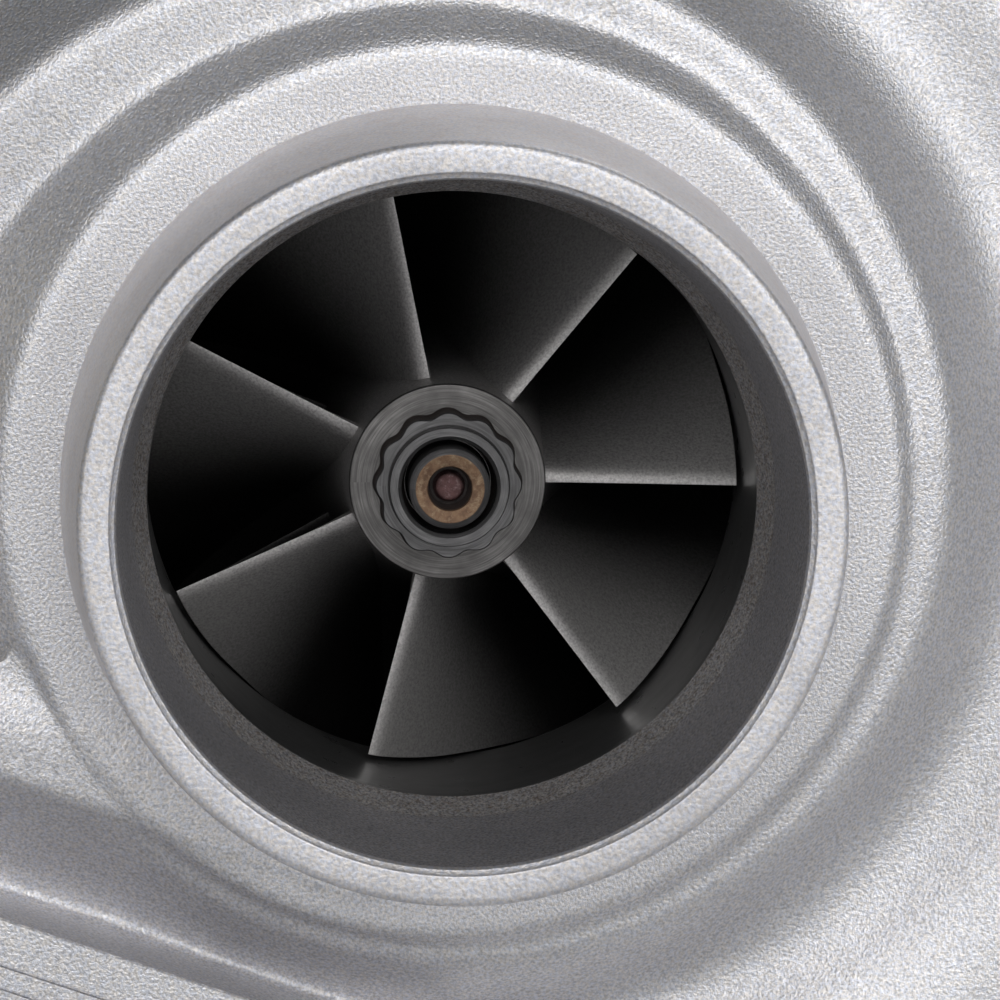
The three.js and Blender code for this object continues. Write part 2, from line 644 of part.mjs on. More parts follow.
function vbandClamp() {
  const band = turned([
    [VBAND.inner, VBAND.front],
    [41, VBAND.front - 0.6],
    [VBAND.outer, 25.6],
    [VBAND.outer, 31.8],
    [41, VBAND.rear],
    [38.7, VBAND.rear],
    [40.4, 32.9],
    [40.4, 24.3],
    [VBAND.inner, 24.3],
  ]);
  const [near, far] = VBAND.ears;
  const hole = bar([-far - 2, VBAND.y, VBAND.boltZ], [far + 2, VBAND.y, VBAND.boltZ], M6.shank + GAP);
  const inside = ring(20, 40.6, 20, 36);
  const ears = [[near, far], [-far, -near]].map(([low, high]) =>
    cut(block([low, VBAND.y - 3.4, 39.5], [high, VBAND.y + 3.4, VBAND.boltZ + 5]), hole, inside),
  );
  const opening = block([-near, 20, 30], [near, 40, 60]);
  return join(cut(band, opening), ...ears);
}

// A hexagon bolt: its head starts at `seat` and stands towards `top`.
function hexBolt(tip, seat, top, shank, head) {
  return join(bar(tip, top, shank), bar(seat, top, head, 6));
}

// ---------- Turbine housing ----------
function voluteAt(angle) {
  const sweep = (((180 - angle) % 360) + 360) % 360; // the gas enters at the left and runs clockwise
  const share = sweep <= VOLUTE.end ? 1 - sweep / VOLUTE.end : (sweep - VOLUTE.end) / (360 - VOLUTE.end);
  const inner = VOLUTE.small + (VOLUTE.large - VOLUTE.small) * share;
  return {
    axis: VOLUTE.inner + inner,
    inner,
    outer: inner + VOLUTE.wall,
    y: VOLUTE.smallY + (VOLUTE.largeY - VOLUTE.smallY) * share,
  };
}

function turbineSection(angle) {
  const volute = voluteAt(angle);
  const front = (180 / Math.PI) * Math.acos((volute.axis - 36.8) / volute.outer);
  return [
    [15, TURBINE_FLANGE.face],
    [TURBINE_FLANGE.outer, TURBINE_FLANGE.face],
    [TURBINE_FLANGE.outer, 32.4],
    [38, 34.2],
    ...arc(volute.axis, volute.y, volute.outer, Math.max(front, 30), 292, 7),
    [28.8, volute.y + volute.outer + 1],
    [28.8, CAVITY.floor + 2],
    [15, CAVITY.floor + 2],
  ];
}

const cavityOutline = (grow) =>
  roundedLink([0, 0, CAVITY.main + grow], [CAVITY.sideX, CAVITY.sideZ, CAVITY.side + grow]);

// The inlet duct: a loft from the round volute to the rectangular port in the foot.
function inletDuct(grow) {
  const rings = [];
  const heights = [0, -28, -56, -SHAFT_HEIGHT + 8, -SHAFT_HEIGHT - (grow ? -1 : 1)];
  heights.forEach((z, i) => {
    const share = i / (heights.length - 1);
    const [cx, cy] = [DUCT.x + DUCT.towardsFoot * share, VOLUTE.largeY];
    const halfX = VOLUTE.large + DUCT.wider * share + grow;
    const halfY = VOLUTE.large + DUCT.deeper * share + grow;
    const power = 2 / (2 + 4 * share); // round at the volute, nearly rectangular at the foot
    rings.push(
      Array.from({ length: 24 }, (_, k) => {
        const t = rad(15 * k + 7.5);
        const [c, s] = [Math.cos(t), Math.sin(t)];
        const x = cx + halfX * Math.sign(c) * Math.abs(c) ** power;
        return new THREE.Vector3(x, cy + halfY * Math.sign(s) * Math.abs(s) ** power, z);
      }),
    );
  });
  return skin(rings, false);
}

const footBoltPlaces = [[-1, -1], [1, -1], [1, 1], [-1, 1]].map(([a, b]) => [
  FOOT.x + a * FOOT.boltX,
  FOOT.y + b * FOOT.boltY,
]);

function turbineHousing() {
  const footLow = [FOOT.x - FOOT.width / 2, FOOT.y - FOOT.depth / 2, -SHAFT_HEIGHT];
  const footHigh = [FOOT.x + FOOT.width / 2, FOOT.y + FOOT.depth / 2, -SHAFT_HEIGHT + FOOT.thick];
  const outer = join(
    sweptSection(turbineSection, ROUND),
    plateAcross(cavityOutline(CAVITY.wall), 62, CAVITY.end),
    plateAcross(cavityOutline(CAVITY.wall + 1), CAVITY.end - 0.5, CAVITY.flange),
    ...OUTLET_BOLTS.map(([x, z]) => bar([x, CAVITY.end - 0.5, z], [x, CAVITY.flange, z], OUTLET_BOLT.boss)),
    inletDuct(VOLUTE.wall),
    block(footLow, footHigh),
    bar([BUSH.inner, SPINDLE.y, SPINDLE.z], [BUSH.bossFace, SPINDLE.y, SPINDLE.z], BUSH.boss),
  );
  const gasCore = turned([
    [0, TURBINE_FLANGE.face - 1],
    [32, TURBINE_FLANGE.face - 1],
    [32, 37.2],
    [36, 37.6],
    [36, 46.9],
    [27, 46.9],
    [24.6, 50.6],
    [23.2, 54.6],
    [23.2, CAVITY.floor + 1],
    [0, CAVITY.floor + 1],
  ]);
  const passage = sweptSection((angle) => {
    const volute = voluteAt(angle);
    return [
      ...arc(volute.axis, volute.y, volute.inner, 24, -300, 8),
      [31.5, 37.7],
      [31.5, 46.8],
    ];
  }, ROUND);
  return cut(
    outer,
    gasCore,
    passage,
    plateAcross(cavityOutline(0), CAVITY.floor, CAVITY.flange + 1),
    inletDuct(0),
    bar([PORT.x, 60, PORT.z], [PORT.x, CAVITY.floor + 1, PORT.z], PORT.radius, FINE_ROUND),
    bar([BUSH.inner + 8, SPINDLE.y, SPINDLE.z], [BUSH.bossFace - 2, SPINDLE.y, SPINDLE.z], BUSH.radius + GAP),
    ...footBoltPlaces.map(([x, y]) =>
      bar([x, y, -SHAFT_HEIGHT - 1], [x, y, -SHAFT_HEIGHT + FOOT.thick + 1], FOOT.bolt),
    ),
    ...OUTLET_BOLTS.map(([x, z]) =>
      bar([x, CAVITY.end - 2, z], [x, CAVITY.flange + 1, z], OUTLET_BOLT.hole),
    ),
  );
}

// ---------- Wastegate ----------
const onSpindle = (x) => [x, SPINDLE.y, SPINDLE.z];
const boreOnSpindle = () => bar(onSpindle(-110), onSpindle(0), SPINDLE.radius + GAP);

const wastegateBush = () =>
  cut(bar(onSpindle(BUSH.inner), onSpindle(BUSH.outer), BUSH.radius), boreOnSpindle());

function wastegateArm() {
  const web = roundedLink([SPINDLE.y, SPINDLE.z, 6.5], [SPINDLE.y + 0.5, PORT.z, 4.2]);
  return cut(
    join(
      bar(onSpindle(SPINDLE.outer), onSpindle(SPINDLE.inner), SPINDLE.radius),
      plateAlong(web, PORT.x - 6.5, PORT.x + 6.5, 6),
    ),
    bar([PORT.x, 70, PORT.z], [PORT.x, 95, PORT.z], PORT.stem + GAP),
  );
}

function wastegateValve() {
  const [face, back] = [CAVITY.floor + GAP, CAVITY.floor + 3.2];
  return join(
    bar([PORT.x, face, PORT.z], [PORT.x, back, PORT.z], PORT.valve, FINE_ROUND, PORT.valve - 1.5),
    bar([PORT.x, back - 0.2, PORT.z], [PORT.x, back + 13.8, PORT.z], PORT.stem),
  );
}

const valveRetainer = () => cut(
  bar([PORT.x, 86.6, PORT.z], [PORT.x, 88.4, PORT.z], 6.5, FINE_ROUND),
  bar([PORT.x, 85, PORT.z], [PORT.x, 90, PORT.z], PORT.stem + GAP),
);

const onPin = (x) => [x, leverPin.y, leverPin.z];
const boreAtPin = () => bar(onPin(-110), onPin(-70), PIN.radius + GAP);

const wastegateLever = () => cut(
  plateAlong(
    roundedLink([SPINDLE.y, SPINDLE.z, LEVER.hub], [leverPin.y, leverPin.z, LEVER.eye]),
    LEVER.x - LEVER.thick / 2,
    LEVER.x + LEVER.thick / 2,
  ),
  boreOnSpindle(),
  boreAtPin(),
);

const leverPinBody = () => bar(onPin(PIN.outerX), onPin(PIN.innerX), PIN.radius);

const leverClip = () => cut(
  bar(onPin(-95.9), onPin(-95), 5.6),
  boreAtPin(),
  block([-97, leverPin.y - 1.6, leverPin.z - 8], [-94, leverPin.y + 1.6, leverPin.z]),
);

// ---------- Actuator ----------
const rodPoint = (y) => [ROD.x, y, ROD.z];
const turnedOnRod = (profile, facets = 24) => turned(profile, facets, ROD.x, ROD.z);
const STUDS = [-1, 1].map((side) => [ROD.x + side * STUD.acrossX, ROD.z + side * STUD.acrossZ]);

function rearShell() {
  const { rear, rim, radius, rimRadius, wall } = ACTUATOR;
  const can = turnedOnRod([
    [ROD.radius + 1, rear],
    [radius - 4, rear],
    [radius, rear - 4],
    [radius, rim + 2],
    [rimRadius, rim + 2],
    [rimRadius, rim + GAP],
    [radius - wall, rim + GAP],
    [radius - wall, rear - 4.6],
    [radius - 4.6, rear - wall],
    [ROD.radius + 1, rear - wall],
  ]);
  const studs = STUDS.map(([x, z]) => bar([x, rear - 1, z], [x, rear + STUD.length, z], STUD.radius));
  return join(can, ...studs);
}

function frontShell() {
  const { front, rim, radius, rimRadius, wall } = ACTUATOR;
  const dome = turnedOnRod([
    [0, front],
    [12, front + 0.6],
    [radius - 3, front + 3.4],
    [radius, front + 7],
    [radius, rim - 2],
    [rimRadius + 1.2, rim - 2],
    [rimRadius + 1.2, rim + 3.2],
    [rimRadius + GAP, rim + 3.2],
    [rimRadius + GAP, rim - GAP],
    [radius - wall, rim - GAP],
    [radius - wall, front + 7.6],
    [radius - 3.8, front + 4.8],
    [12, front + 0.6 + wall],
    [0, front + wall],
  ]);
  return cut(dome, bar(actuatorPortAt(19), actuatorPortAt(27), NIPPLE.shank + GAP));
}

// A pipe stub: its shank sits `depth` deep in the wall, its collar just outside and its bead near the tip.

function nipple(from, towards, depth) {
  const { bore, shank, collar, stub, bead } = NIPPLE;
  return turnedAlong(from, towards, [
    [bore, 0],
    [shank, 0],
    [shank, depth],
    [collar, depth],
    [collar, depth + 2.2],
    [stub, depth + 2.2],
    [stub, depth + 8.8],
    [bead, depth + 9.8],
    [stub, depth + 11.4],
    [bore, depth + 11.4],
  ]);
}

// The pressure port leaves the front shell's side, towards the compressor outlet.
function actuatorPortAt(distance) {
  const heading = new THREE.Vector3(0.34, 0, -0.94).normalize();
  return [ROD.x + heading.x * distance, ACTUATOR.portY, ROD.z + heading.z * distance];
}

const actuatorNipple = () =>
  nipple(actuatorPortAt(20.5), actuatorPortAt(40), ACTUATOR.radius + GAP - 20.5);

const boostNipple = () => nipple(nippleAt(DUCT_WALL + 3), nippleAt(0), 3 + GAP);

const diaphragm = () =>
  turnedOnRod([
    [0, DIAPHRAGM_CROWN],
    [17, DIAPHRAGM_CROWN],
    [19.8, ACTUATOR.rim - 0.3],
    [25, ACTUATOR.rim - 0.3],
    [25, ACTUATOR.rim + 0.3],
    [19.2, ACTUATOR.rim + 0.3],
    [16.6, DIAPHRAGM_CROWN + 0.7],
    [0, DIAPHRAGM_CROWN + 0.7],
  ]);

const piston = () =>
  turnedOnRod([
    [ROD.radius + GAP, DIAPHRAGM_CROWN + 1],
    [15.6, DIAPHRAGM_CROWN + 1],
    [15.6, DIAPHRAGM_CROWN + 10],
    [14.4, DIAPHRAGM_CROWN + 10],
    [14.4, DIAPHRAGM_CROWN + 2.4],
    [ROD.radius + GAP, DIAPHRAGM_CROWN + 2.4],
  ]);

function spring() {
  const { turns, coil, wire, endGap } = SPRING;
  const [low, high] = [DIAPHRAGM_CROWN + 1 + endGap, ACTUATOR.rear - endGap];
  class Helix extends THREE.Curve {
    getPoint(t, target = new THREE.Vector3()) {
      const angle = 2 * Math.PI * turns * t;
      const [x, z] = [ROD.x + coil * Math.cos(angle), ROD.z + coil * Math.sin(angle)];
      return target.set(x, low + (high - low) * t, z);
    }
  }
  const shape = new THREE.Shape();
  shape.absarc(0, 0, wire, 0, 2 * Math.PI, false);
  const options = { steps: 12 * turns, extrudePath: new Helix(), curveSegments: 3, bevelEnabled: false };
  return solid(new THREE.ExtrudeGeometry(shape, options));
}

const actuatorRod = () => bar(rodPoint(DIAPHRAGM_CROWN + 1.2), rodPoint(64), ROD.radius);

function rodEnd() {
  const eye = roundedLink([leverPin.y, ROD.z, 8], [64, ROD.z, 5]);
  return cut(
    join(bar(rodPoint(55), rodPoint(65), 5.2, 6), plateAlong(eye, ROD.x - 2, ROD.x + 2)),
    bar(rodPoint(50), rodPoint(64.4), ROD.radius + GAP),
    bar([-110, leverPin.y, ROD.z], [-70, leverPin.y, ROD.z], PIN.radius + PIN.slack),
  );
}

const rodLocknut = () =>
  cut(bar(rodPoint(49.4), rodPoint(54.7), M6.corner, 6), bar(rodPoint(45), rodPoint(60), ROD.radius + GAP));

function actuatorBracket() {
  const [low, high] = [ACTUATOR.rear + GAP, ACTUATOR.rear + GAP + BRACKET_THICK];
  const outline = new THREE.Shape(BRACKET.map(([x, z]) => new THREE.Vector2(x, z)));
  const plate = plateAcross(outline, low, high);
  const lip = block([-104, low, 43.6], [-70, low + 12, 43.6 + BRACKET_THICK]);
  const hole = ([x, z], radius) => bar([x, -30, z], [x, -5, z], radius);
  return cut(
    join(plate, lip),
    bar(rodPoint(-25), rodPoint(-5), ROD.radius + 3, FINE_ROUND),
    ...STUDS.map((place) => hole(place, STUD.radius + GAP)),
    ...BRACKET_BOSSES.map((place) => hole(place, M6.shank + GAP)),
  );
}

const nutAcross = ([x, z], low, high, bore, corner) => cut(
  bar([x, low, z], [x, high, z], corner, 6),
  bar([x, low - 2, z], [x, high + 2, z], bore),
);

// ---------- Fittings ----------
function oilInletFitting() {
  const { y, seat, stem, hexagon, thread, passage, top } = OIL_INLET;
  return cut(
    join(
      bar([0, y, seat - 8], [0, y, top - 0.5], stem),
      bar([0, y, seat + GAP], [0, y, seat + 7], hexagon, 6),
      bar([0, y, seat + 6.5], [0, y, top], thread),
    ),
    bar([0, y, seat - 12], [0, y, top + 2.5], passage),
  );
}

const waterPlug = ({ inner, seat, top }) =>
  join(bar(inner, seat, WATER_BOSS.plug), bar(seat, top, WATER_BOSS.hexagon, 6));

// ---------- Assembly ----------
const paint = {
  castAluminium: [0xb4b5b8, 0.55, 0.85],
  wheelAluminium: [0x3c3c3e, 0.5, 0.8],
  castIron: [0x6e645c, 0.75, 0.6],
  bearingIron: [0x4d4d4f, 0.7, 0.6],
  steel: [0x8d8f92, 0.35, 1],
  zincSteel: [0xc2b987, 0.35, 0.9],
  darkSteel: [0x55565a, 0.4, 0.9],
  bronze: [0xa9793c, 0.4, 1],
  inconel: [0x6b6661, 0.45, 1],
  rubber: [0x18181a, 0.85, 0],
  brass: [0xb9963f, 0.35, 1],
};

const turbocharger = new THREE.Group();

function addPiece(name, manifold, finish) {
  const [color, roughness, metalness] = paint[finish];
  const material = new THREE.MeshStandardMaterial({ color, roughness, metalness });
  const mesh = new THREE.Mesh(geometryOf(manifold), material);
  mesh.name = name;
  turbocharger.add(mesh);
}

addPiece("compressor_housing", compressorHousing(), "castAluminium");
addPiece("compressor_wheel", compressorWheel(), "wheelAluminium");
addPiece("compressor_wheel_nut", compressorNut(), "steel");
addPiece("backplate", backplate(), "castAluminium");
addPiece("backplate_o_ring", roundRing(44.35, -24.05, 0.85), "rubber");

clampBoltPlaces.forEach(([x, z], i) => {
  const seat = REAR_FLANGE.face + 2 * GAP + CLAMP_PLATE.thick;
  const tip = REAR_FLANGE.face - CLAMP_BOLTS.depth + 1;
  const bolt = hexBolt([x, tip, z], [x, seat, z], [x, seat + M6.head, z], CLAMP_BOLTS.shank, M6.corner);
  addPiece(`compressor_bolt_${i + 1}`, bolt, "zincSteel");
});

for (let i = 0; i < CLAMP_BOLTS.count / 2; i++) {
  addPiece(`clamp_plate_${i + 1}`, clampPlate(CLAMP_BOLTS.first + 30 + 120 * i), "zincSteel");
}

addPiece("bearing_housing", bearingHousing(), "bearingIron");
["front", "rear"].forEach((place, i) => {
  const [from, to] = JOURNAL_BEARINGS[i];
  const bearing = ring(JOURNAL + GAP, BEARING_BORE - GAP, from, to, FINE_ROUND);
  addPiece(`journal_bearing_${place}`, bearing, "bronze");
});
addPiece("bearing_spacer", ring(5.6, 7.6, 1.4, 10.6, FINE_ROUND), "steel");
addPiece("thrust_bearing", thrustBearing(), "bronze");
addPiece("thrust_collar", thrustCollar(), "steel");
addPiece("oil_flinger", oilFlinger(), "steel");
addPiece("compressor_seal_ring", sealRing(6.1, 7.3, -22.4, -21.4), "darkSteel");
addPiece("turbine_seal_ring", sealRing(6.9, 8.5, 26.1, 27.5), "darkSteel");
addPiece("rotor_shaft", rotorShaft(), "steel");
addPiece("turbine_wheel", turbineWheel(), "inconel");
addPiece("heat_shield", heatShield(), "steel");
addPiece("turbine_housing", turbineHousing(), "castIron");
addPiece("vband_clamp", vbandClamp(), "steel");
const onVbandBolt = (x) => [x, VBAND.y, VBAND.boltZ];
const vbandBolt = hexBolt(onVbandBolt(17), onVbandBolt(-11.3), onVbandBolt(-15.5), M6.shank, 5.4);
addPiece("vband_bolt", vbandBolt, "steel");
const vbandNut = bar(onVbandBolt(11.3), onVbandBolt(16.3), 5.6, 6);
addPiece("vband_nut", cut(vbandNut, bar(onVbandBolt(9), onVbandBolt(19), M6.shank + GAP)), "steel");
addPiece("wastegate_bush", wastegateBush(), "darkSteel");
addPiece("wastegate_arm", wastegateArm(), "inconel");
addPiece("wastegate_valve", wastegateValve(), "inconel");
addPiece("valve_retainer", valveRetainer(), "inconel");
addPiece("wastegate_lever", wastegateLever(), "steel");
addPiece("lever_pin", leverPinBody(), "steel");
addPiece("lever_clip", leverClip(), "darkSteel");
addPiece("actuator_rod", actuatorRod(), "zincSteel");
addPiece("rod_end", rodEnd(), "zincSteel");
addPiece("rod_locknut", rodLocknut(), "zincSteel");
addPiece("actuator_piston", piston(), "darkSteel");
addPiece("actuator_diaphragm", diaphragm(), "rubber");
addPiece("actuator_spring", spring(), "steel");
addPiece("actuator_front_shell", frontShell(), "zincSteel");
addPiece("actuator_rear_shell", rearShell(), "zincSteel");
addPiece("actuator_nipple", actuatorNipple(), "brass");
addPiece("actuator_bracket", actuatorBracket(), "darkSteel");
const bracketSeat = ACTUATOR.rear + 2 * GAP + BRACKET_THICK;
BRACKET_BOSSES.forEach(([x, z], i) => {
  const [tip, top] = [ACTUATOR.rear - 11, bracketSeat + M6.head];
  const bolt = hexBolt([x, tip, z], [x, bracketSeat, z], [x, top, z], M6.shank, M6.corner);
  addPiece(`bracket_bolt_${i + 1}`, bolt, "zincSteel");
});
STUDS.forEach((place, i) => {
  const nut = nutAcross(place, bracketSeat, bracketSeat + 4.2, STUD.radius + GAP, 4.8);
  addPiece(`actuator_nut_${i + 1}`, nut, "zincSteel");
});
addPiece("boost_nipple", boostNipple(), "brass");
addPiece("oil_inlet_fitting", oilInletFitting(), "brass");
addPiece("water_plug_right", waterPlug(WATER_PORTS.right), "brass");
addPiece("water_plug_left", waterPlug(WATER_PORTS.left), "brass");

turbocharger.position.set(SHAFT_X, SHAFT_Y, SHAFT_HEIGHT);

export default turbocharger;
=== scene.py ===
"""The looks of a turbocharger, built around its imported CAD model.

Lengths are in millimetres in shaft coordinates, turned into the frame's metres by to_frame(): the shaft
turns about Y, the compressor inlet faces -Y, +X is to the right of someone looking into the inlet and Z
is up. Solids of revolution and plates are drawn as outlines, castings as distance fields.
"""

import math

import bmesh
import bpy
import numpy as np
import openvdb
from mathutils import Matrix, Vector


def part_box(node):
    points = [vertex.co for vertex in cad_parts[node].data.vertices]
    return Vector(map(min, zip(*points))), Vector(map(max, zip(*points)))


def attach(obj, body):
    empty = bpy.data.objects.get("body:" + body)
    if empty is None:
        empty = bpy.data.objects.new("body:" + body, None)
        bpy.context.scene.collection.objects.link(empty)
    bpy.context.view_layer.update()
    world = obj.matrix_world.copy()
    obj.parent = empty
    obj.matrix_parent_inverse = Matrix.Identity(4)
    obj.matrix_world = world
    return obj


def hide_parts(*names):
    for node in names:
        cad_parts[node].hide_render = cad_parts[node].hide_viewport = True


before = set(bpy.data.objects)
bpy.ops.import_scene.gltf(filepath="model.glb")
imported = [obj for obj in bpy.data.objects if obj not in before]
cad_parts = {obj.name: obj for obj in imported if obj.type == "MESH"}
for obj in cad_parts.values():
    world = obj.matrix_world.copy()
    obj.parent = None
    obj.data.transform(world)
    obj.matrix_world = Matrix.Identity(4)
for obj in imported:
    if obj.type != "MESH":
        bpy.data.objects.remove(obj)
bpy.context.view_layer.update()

MM = 0.001
SHAFT_FRONT = -60.4  # where the shaft's threaded end lies on the shaft's own axis
_low, _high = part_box("rotor_shaft")
SHAFT = Vector(((_low.x + _high.x) / 2, _low.y - SHAFT_FRONT * MM, (_low.z + _high.z) / 2))
FLOOR_Z = -SHAFT.z / MM  # the foot's face

ALONG_X, ALONG_Y, ALONG_Z = (1, 0, 0), (0, 1, 0), (0, 0, 1)
FIELD_REACH = 3.0  # how far from a casting's surface its distance field counts
GAP = 0.3  # between pieces that touch
M6 = (10, 4.2, 3)  # a bolt's width across flats, head height and shank radius

# ---------- Driving dimensions ----------
RIM_Y, BASE_Y = -82.0, -63.5
RIM_OUTER, BASE_OUTER, RIM_STEP, RIM_INNER, THROAT = 28.65, 29.9, 26.3, 25.7, 23.2
LIP_Y = -66.9  # where the taper turns towards the throat
PLATEAU_EDGE, GROOVE_DEPTH = 34.3, 1.3
TONGUE, OUTLET_SWEEP = 200.0, 309.0  # degrees; the scroll grows clockwise from the tongue to the outlet
SCROLL_SMALL, SCROLL_LARGE, SCROLL_WALL = 6.5, 17.5, 3.5
SCROLL_NEAR, SCROLL_FAR = 52.0, 60.0
DIFFUSER_BACK = -26.0
OUTLET_LENGTH, OUTLET_BEAD, SPIGOT_START = 78.0, 1.6, 64.0
PAD_EDGE, PAD_FAR, PAD_Y, PAD_GROOVES = 41.5, 63.0, 65.6, (45.0, 46.7, 47.6)
PAD_MIDDLE, PAD_HALF = 13.0, 27.0  # along the outlet duct
SHELF_EDGE, SHELF_STEP = 31.6, 0.35
FLANGE_R, FLANGE_REAR = 57.5, -16.0
CLAMP_CIRCLE, CLAMP_FIRST, CLAMP_COUNT = 52.3, 15.0, 6  # the housing's bolts
CLAMP_REAR, BRACKET_REAR = -12.7, -14.5  # the y of the clamp plates' and the bracket's rear faces
BRACKET_BOSSES = [(-57, 30), (-63.5, 6)]
ACTUATOR_AXIS = (-92.0, 24.375)
ACTUATOR_STUDS = [(ACTUATOR_AXIS[0] + side * 6.5, ACTUATOR_AXIS[1] + side * 11.31) for side in (-1, 1)]
ACTUATOR_REAR = -17.8
BLADE_COUNT, BLADE_FIRST, SPLITTER_START = 7, -2.2, 0.42
VOLUTE_SMALL, VOLUTE_LARGE, VOLUTE_INNER, VOLUTE_WALL = 4.5, 14.5, 32.5, 4.5
VOLUTE_Y_SMALL, VOLUTE_Y_LARGE = 45.0, 54.0
FOOT_X, FOOT_Y, FOOT_WIDTH, FOOT_DEPTH, FOOT_THICK = -30.0, 54.0, 98.0, 76.0, 12.0
FOOT_BOLTS = [(FOOT_X + a * 37, FOOT_Y + b * 27) for a in (-1, 1) for b in (-1, 1)]
CAVITY_SIDE = (-34.0, 28.0)
CAVITY_RADII = (27.0, 30.0)
CAVITY_FLOOR, OUTLET_FACE = 72.0, 114.0
OUTLET_BOLTS = [(32, 12), (10, -33.5), (-49, -8), (-69.5, 36), (-22, 62.5)]
WASTEGATE_PORT = (-36.0, 22.0)
SPINDLE = (81.0, 46.0)
LEVER_LENGTH, LEVER_LEAN = 22.0, math.radians(15)
LEVER_PIN = (
    SPINDLE[0] - LEVER_LENGTH * math.sin(LEVER_LEAN),
    SPINDLE[1] - LEVER_LENGTH * math.cos(LEVER_LEAN),
)
VBAND_Y, VBAND_BOLT_Z = 28.8, 52.0
PORT_Y, OIL_SEAT_Z = 6.0, 42.3  # the oil and water ports lie in one plane


def to_frame(points):
    """Points in millimetres in shaft coordinates, as metres in the frame."""
    return np.asarray(points, float).reshape(-1, 3) * MM + np.array(SHAFT)


# ---------- Meshes ----------
def add_mesh(name, points, faces, looks, sharp=35, outward=True):
    """A mesh object from points in millimetres and a list or array of faces."""
    mesh = bpy.data.meshes.new(name)
    mesh.from_pydata(to_frame(points).tolist(), [], faces.tolist() if hasattr(faces, "tolist") else faces)
    mesh.validate()
    if outward:
        shape = bmesh.new()
        shape.from_mesh(mesh)
        bmesh.ops.remove_doubles(shape, verts=shape.verts, dist=1e-7)
        bmesh.ops.recalc_face_normals(shape, faces=shape.faces)
        shape.to_mesh(mesh)
        shape.free()
    piece = bpy.data.objects.new(name, mesh)
    bpy.context.scene.collection.objects.link(piece)
    for look in looks if isinstance(looks, list) else [looks]:
        mesh.materials.append(look)
    mesh.shade_smooth()
    mesh.set_sharp_from_angle(angle=math.radians(sharp))
    return piece


def merged(name, pieces):
    """Several mesh objects as one."""
    with bpy.context.temp_override(
        active_object=pieces[0], selected_editable_objects=pieces, object=pieces[0], selected_objects=pieces
    ):
        bpy.ops.object.join()
    pieces[0].name = name
    return pieces[0]


def settle(piece, body, slot, *nodes):
    """The piece rides on a body and stands for CAD nodes, whose parts it hides; the slot is not used."""
    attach(piece, body)
    if nodes:
        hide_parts(*nodes)
    return piece


def rounded(outline, steps=4):
    """A closed 2D outline of (u, v) or (u, v, corner radius) points with its corners rounded."""
    points = [Vector(p[:2]) for p in outline]
    radii = [p[2] if len(p) > 2 else 0 for p in outline]
    count, result = len(points), []
    for i, corner in enumerate(points):
        if not radii[i]:
            result.append(tuple(corner))
            continue
        before, after = points[i - 1] - corner, points[(i + 1) % count] - corner
        half = before.angle(after) / 2
        reach = min(radii[i] / math.tan(half), before.length * 0.49, after.length * 0.49)
        start, end = corner + before.normalized() * reach, corner + after.normalized() * reach
        for k in range(steps + 1):
            t = k / steps
            result.append(tuple(start * (1 - t) ** 2 + corner * 2 * t * (1 - t) + end * t**2))
    return result


def band_faces(rows, count, joined=True):
    """Quads between rows of so many points each, with the last row joined to the first if wanted."""
    faces = []
    for row in range(rows if joined else rows - 1):
        a, b = row * count, (row + 1) % rows * count
        faces += [(a + i, a + (i + 1) % count, b + (i + 1) % count, b + i) for i in range(count)]
    return faces


def basis(direction):
    """Two unit vectors square to a direction."""
    along = Vector(direction).normalized()
    side = along.cross(Vector(ALONG_Z if abs(along.z) < 0.9 else ALONG_X)).normalized()
    return side, along.cross(side).normalized(), along


def turned(name, profile, look, origin=(0, 0, 0), direction=ALONG_Y, segments=128, sharp=32):
    """A turned piece from (radius, distance, corner radius) points along a direction from the origin."""
    outline = rounded(profile)
    side, up, along = basis(direction)
    start = Vector(origin)
    points = []
    for k in range(segments):
        angle = 2 * math.pi * k / segments
        out = side * math.cos(angle) + up * math.sin(angle)
        points += [start + along * d + out * r for r, d in outline]
    return add_mesh(name, points, band_faces(segments, len(outline)), look, sharp)


def thread(radius, depth, start, pitch, turns):
    """The outline of a thread's ridges and grooves."""
    points = []
    for k in range(turns):
        points += [(radius, start + k * pitch), (radius - depth, start + 0.4 + k * pitch)]
    return points


def plate(name, loops, thickness, look, origin, u, v, bevel=0.4, sharp=30):
    """A flat piece drawn along u and v from the origin: the first loop is its outline, the rest are holes."""
    curve = bpy.data.curves.new(name, "CURVE")
    curve.dimensions, curve.fill_mode = "2D", "BOTH"
    curve.extrude, curve.offset = thickness / 2 - bevel, -bevel
    curve.bevel_depth, curve.bevel_resolution = bevel, 2
    for loop in loops:
        spline = curve.splines.new("POLY")
        spline.points.add(len(loop) - 1)
        spline.use_cyclic_u = True
        for point, (a, b) in zip(spline.points, loop):
            point.co = (a, b, 0, 1)
    maker = bpy.data.objects.new(name + "_outline", curve)
    bpy.context.scene.collection.objects.link(maker)
    bpy.context.view_layer.update()
    flat = bpy.data.meshes.new_from_object(maker.evaluated_get(bpy.context.evaluated_depsgraph_get()))
    bpy.data.objects.remove(maker)
    u, v = Vector(u), Vector(v)
    w = u.cross(v)
    points = [Vector(origin) + u * p.co.x + v * p.co.y + w * (p.co.z + thickness / 2) for p in flat.vertices]
    faces = [tuple(p.vertices) for p in flat.polygons]
    bpy.data.meshes.remove(flat)
    return add_mesh(name, points, faces, look, sharp)


def polar(radius, degrees, u=0.0, v=0.0):
    """A point on the circle round (u, v)."""
    angle = math.radians(degrees)
    return u + radius * math.cos(angle), v + radius * math.sin(angle)


def circle(u, v, radius, steps=32):
    """The points of a circle round (u, v)."""
    return [polar(radius, 360 * k / steps, u, v) for k in range(steps)]


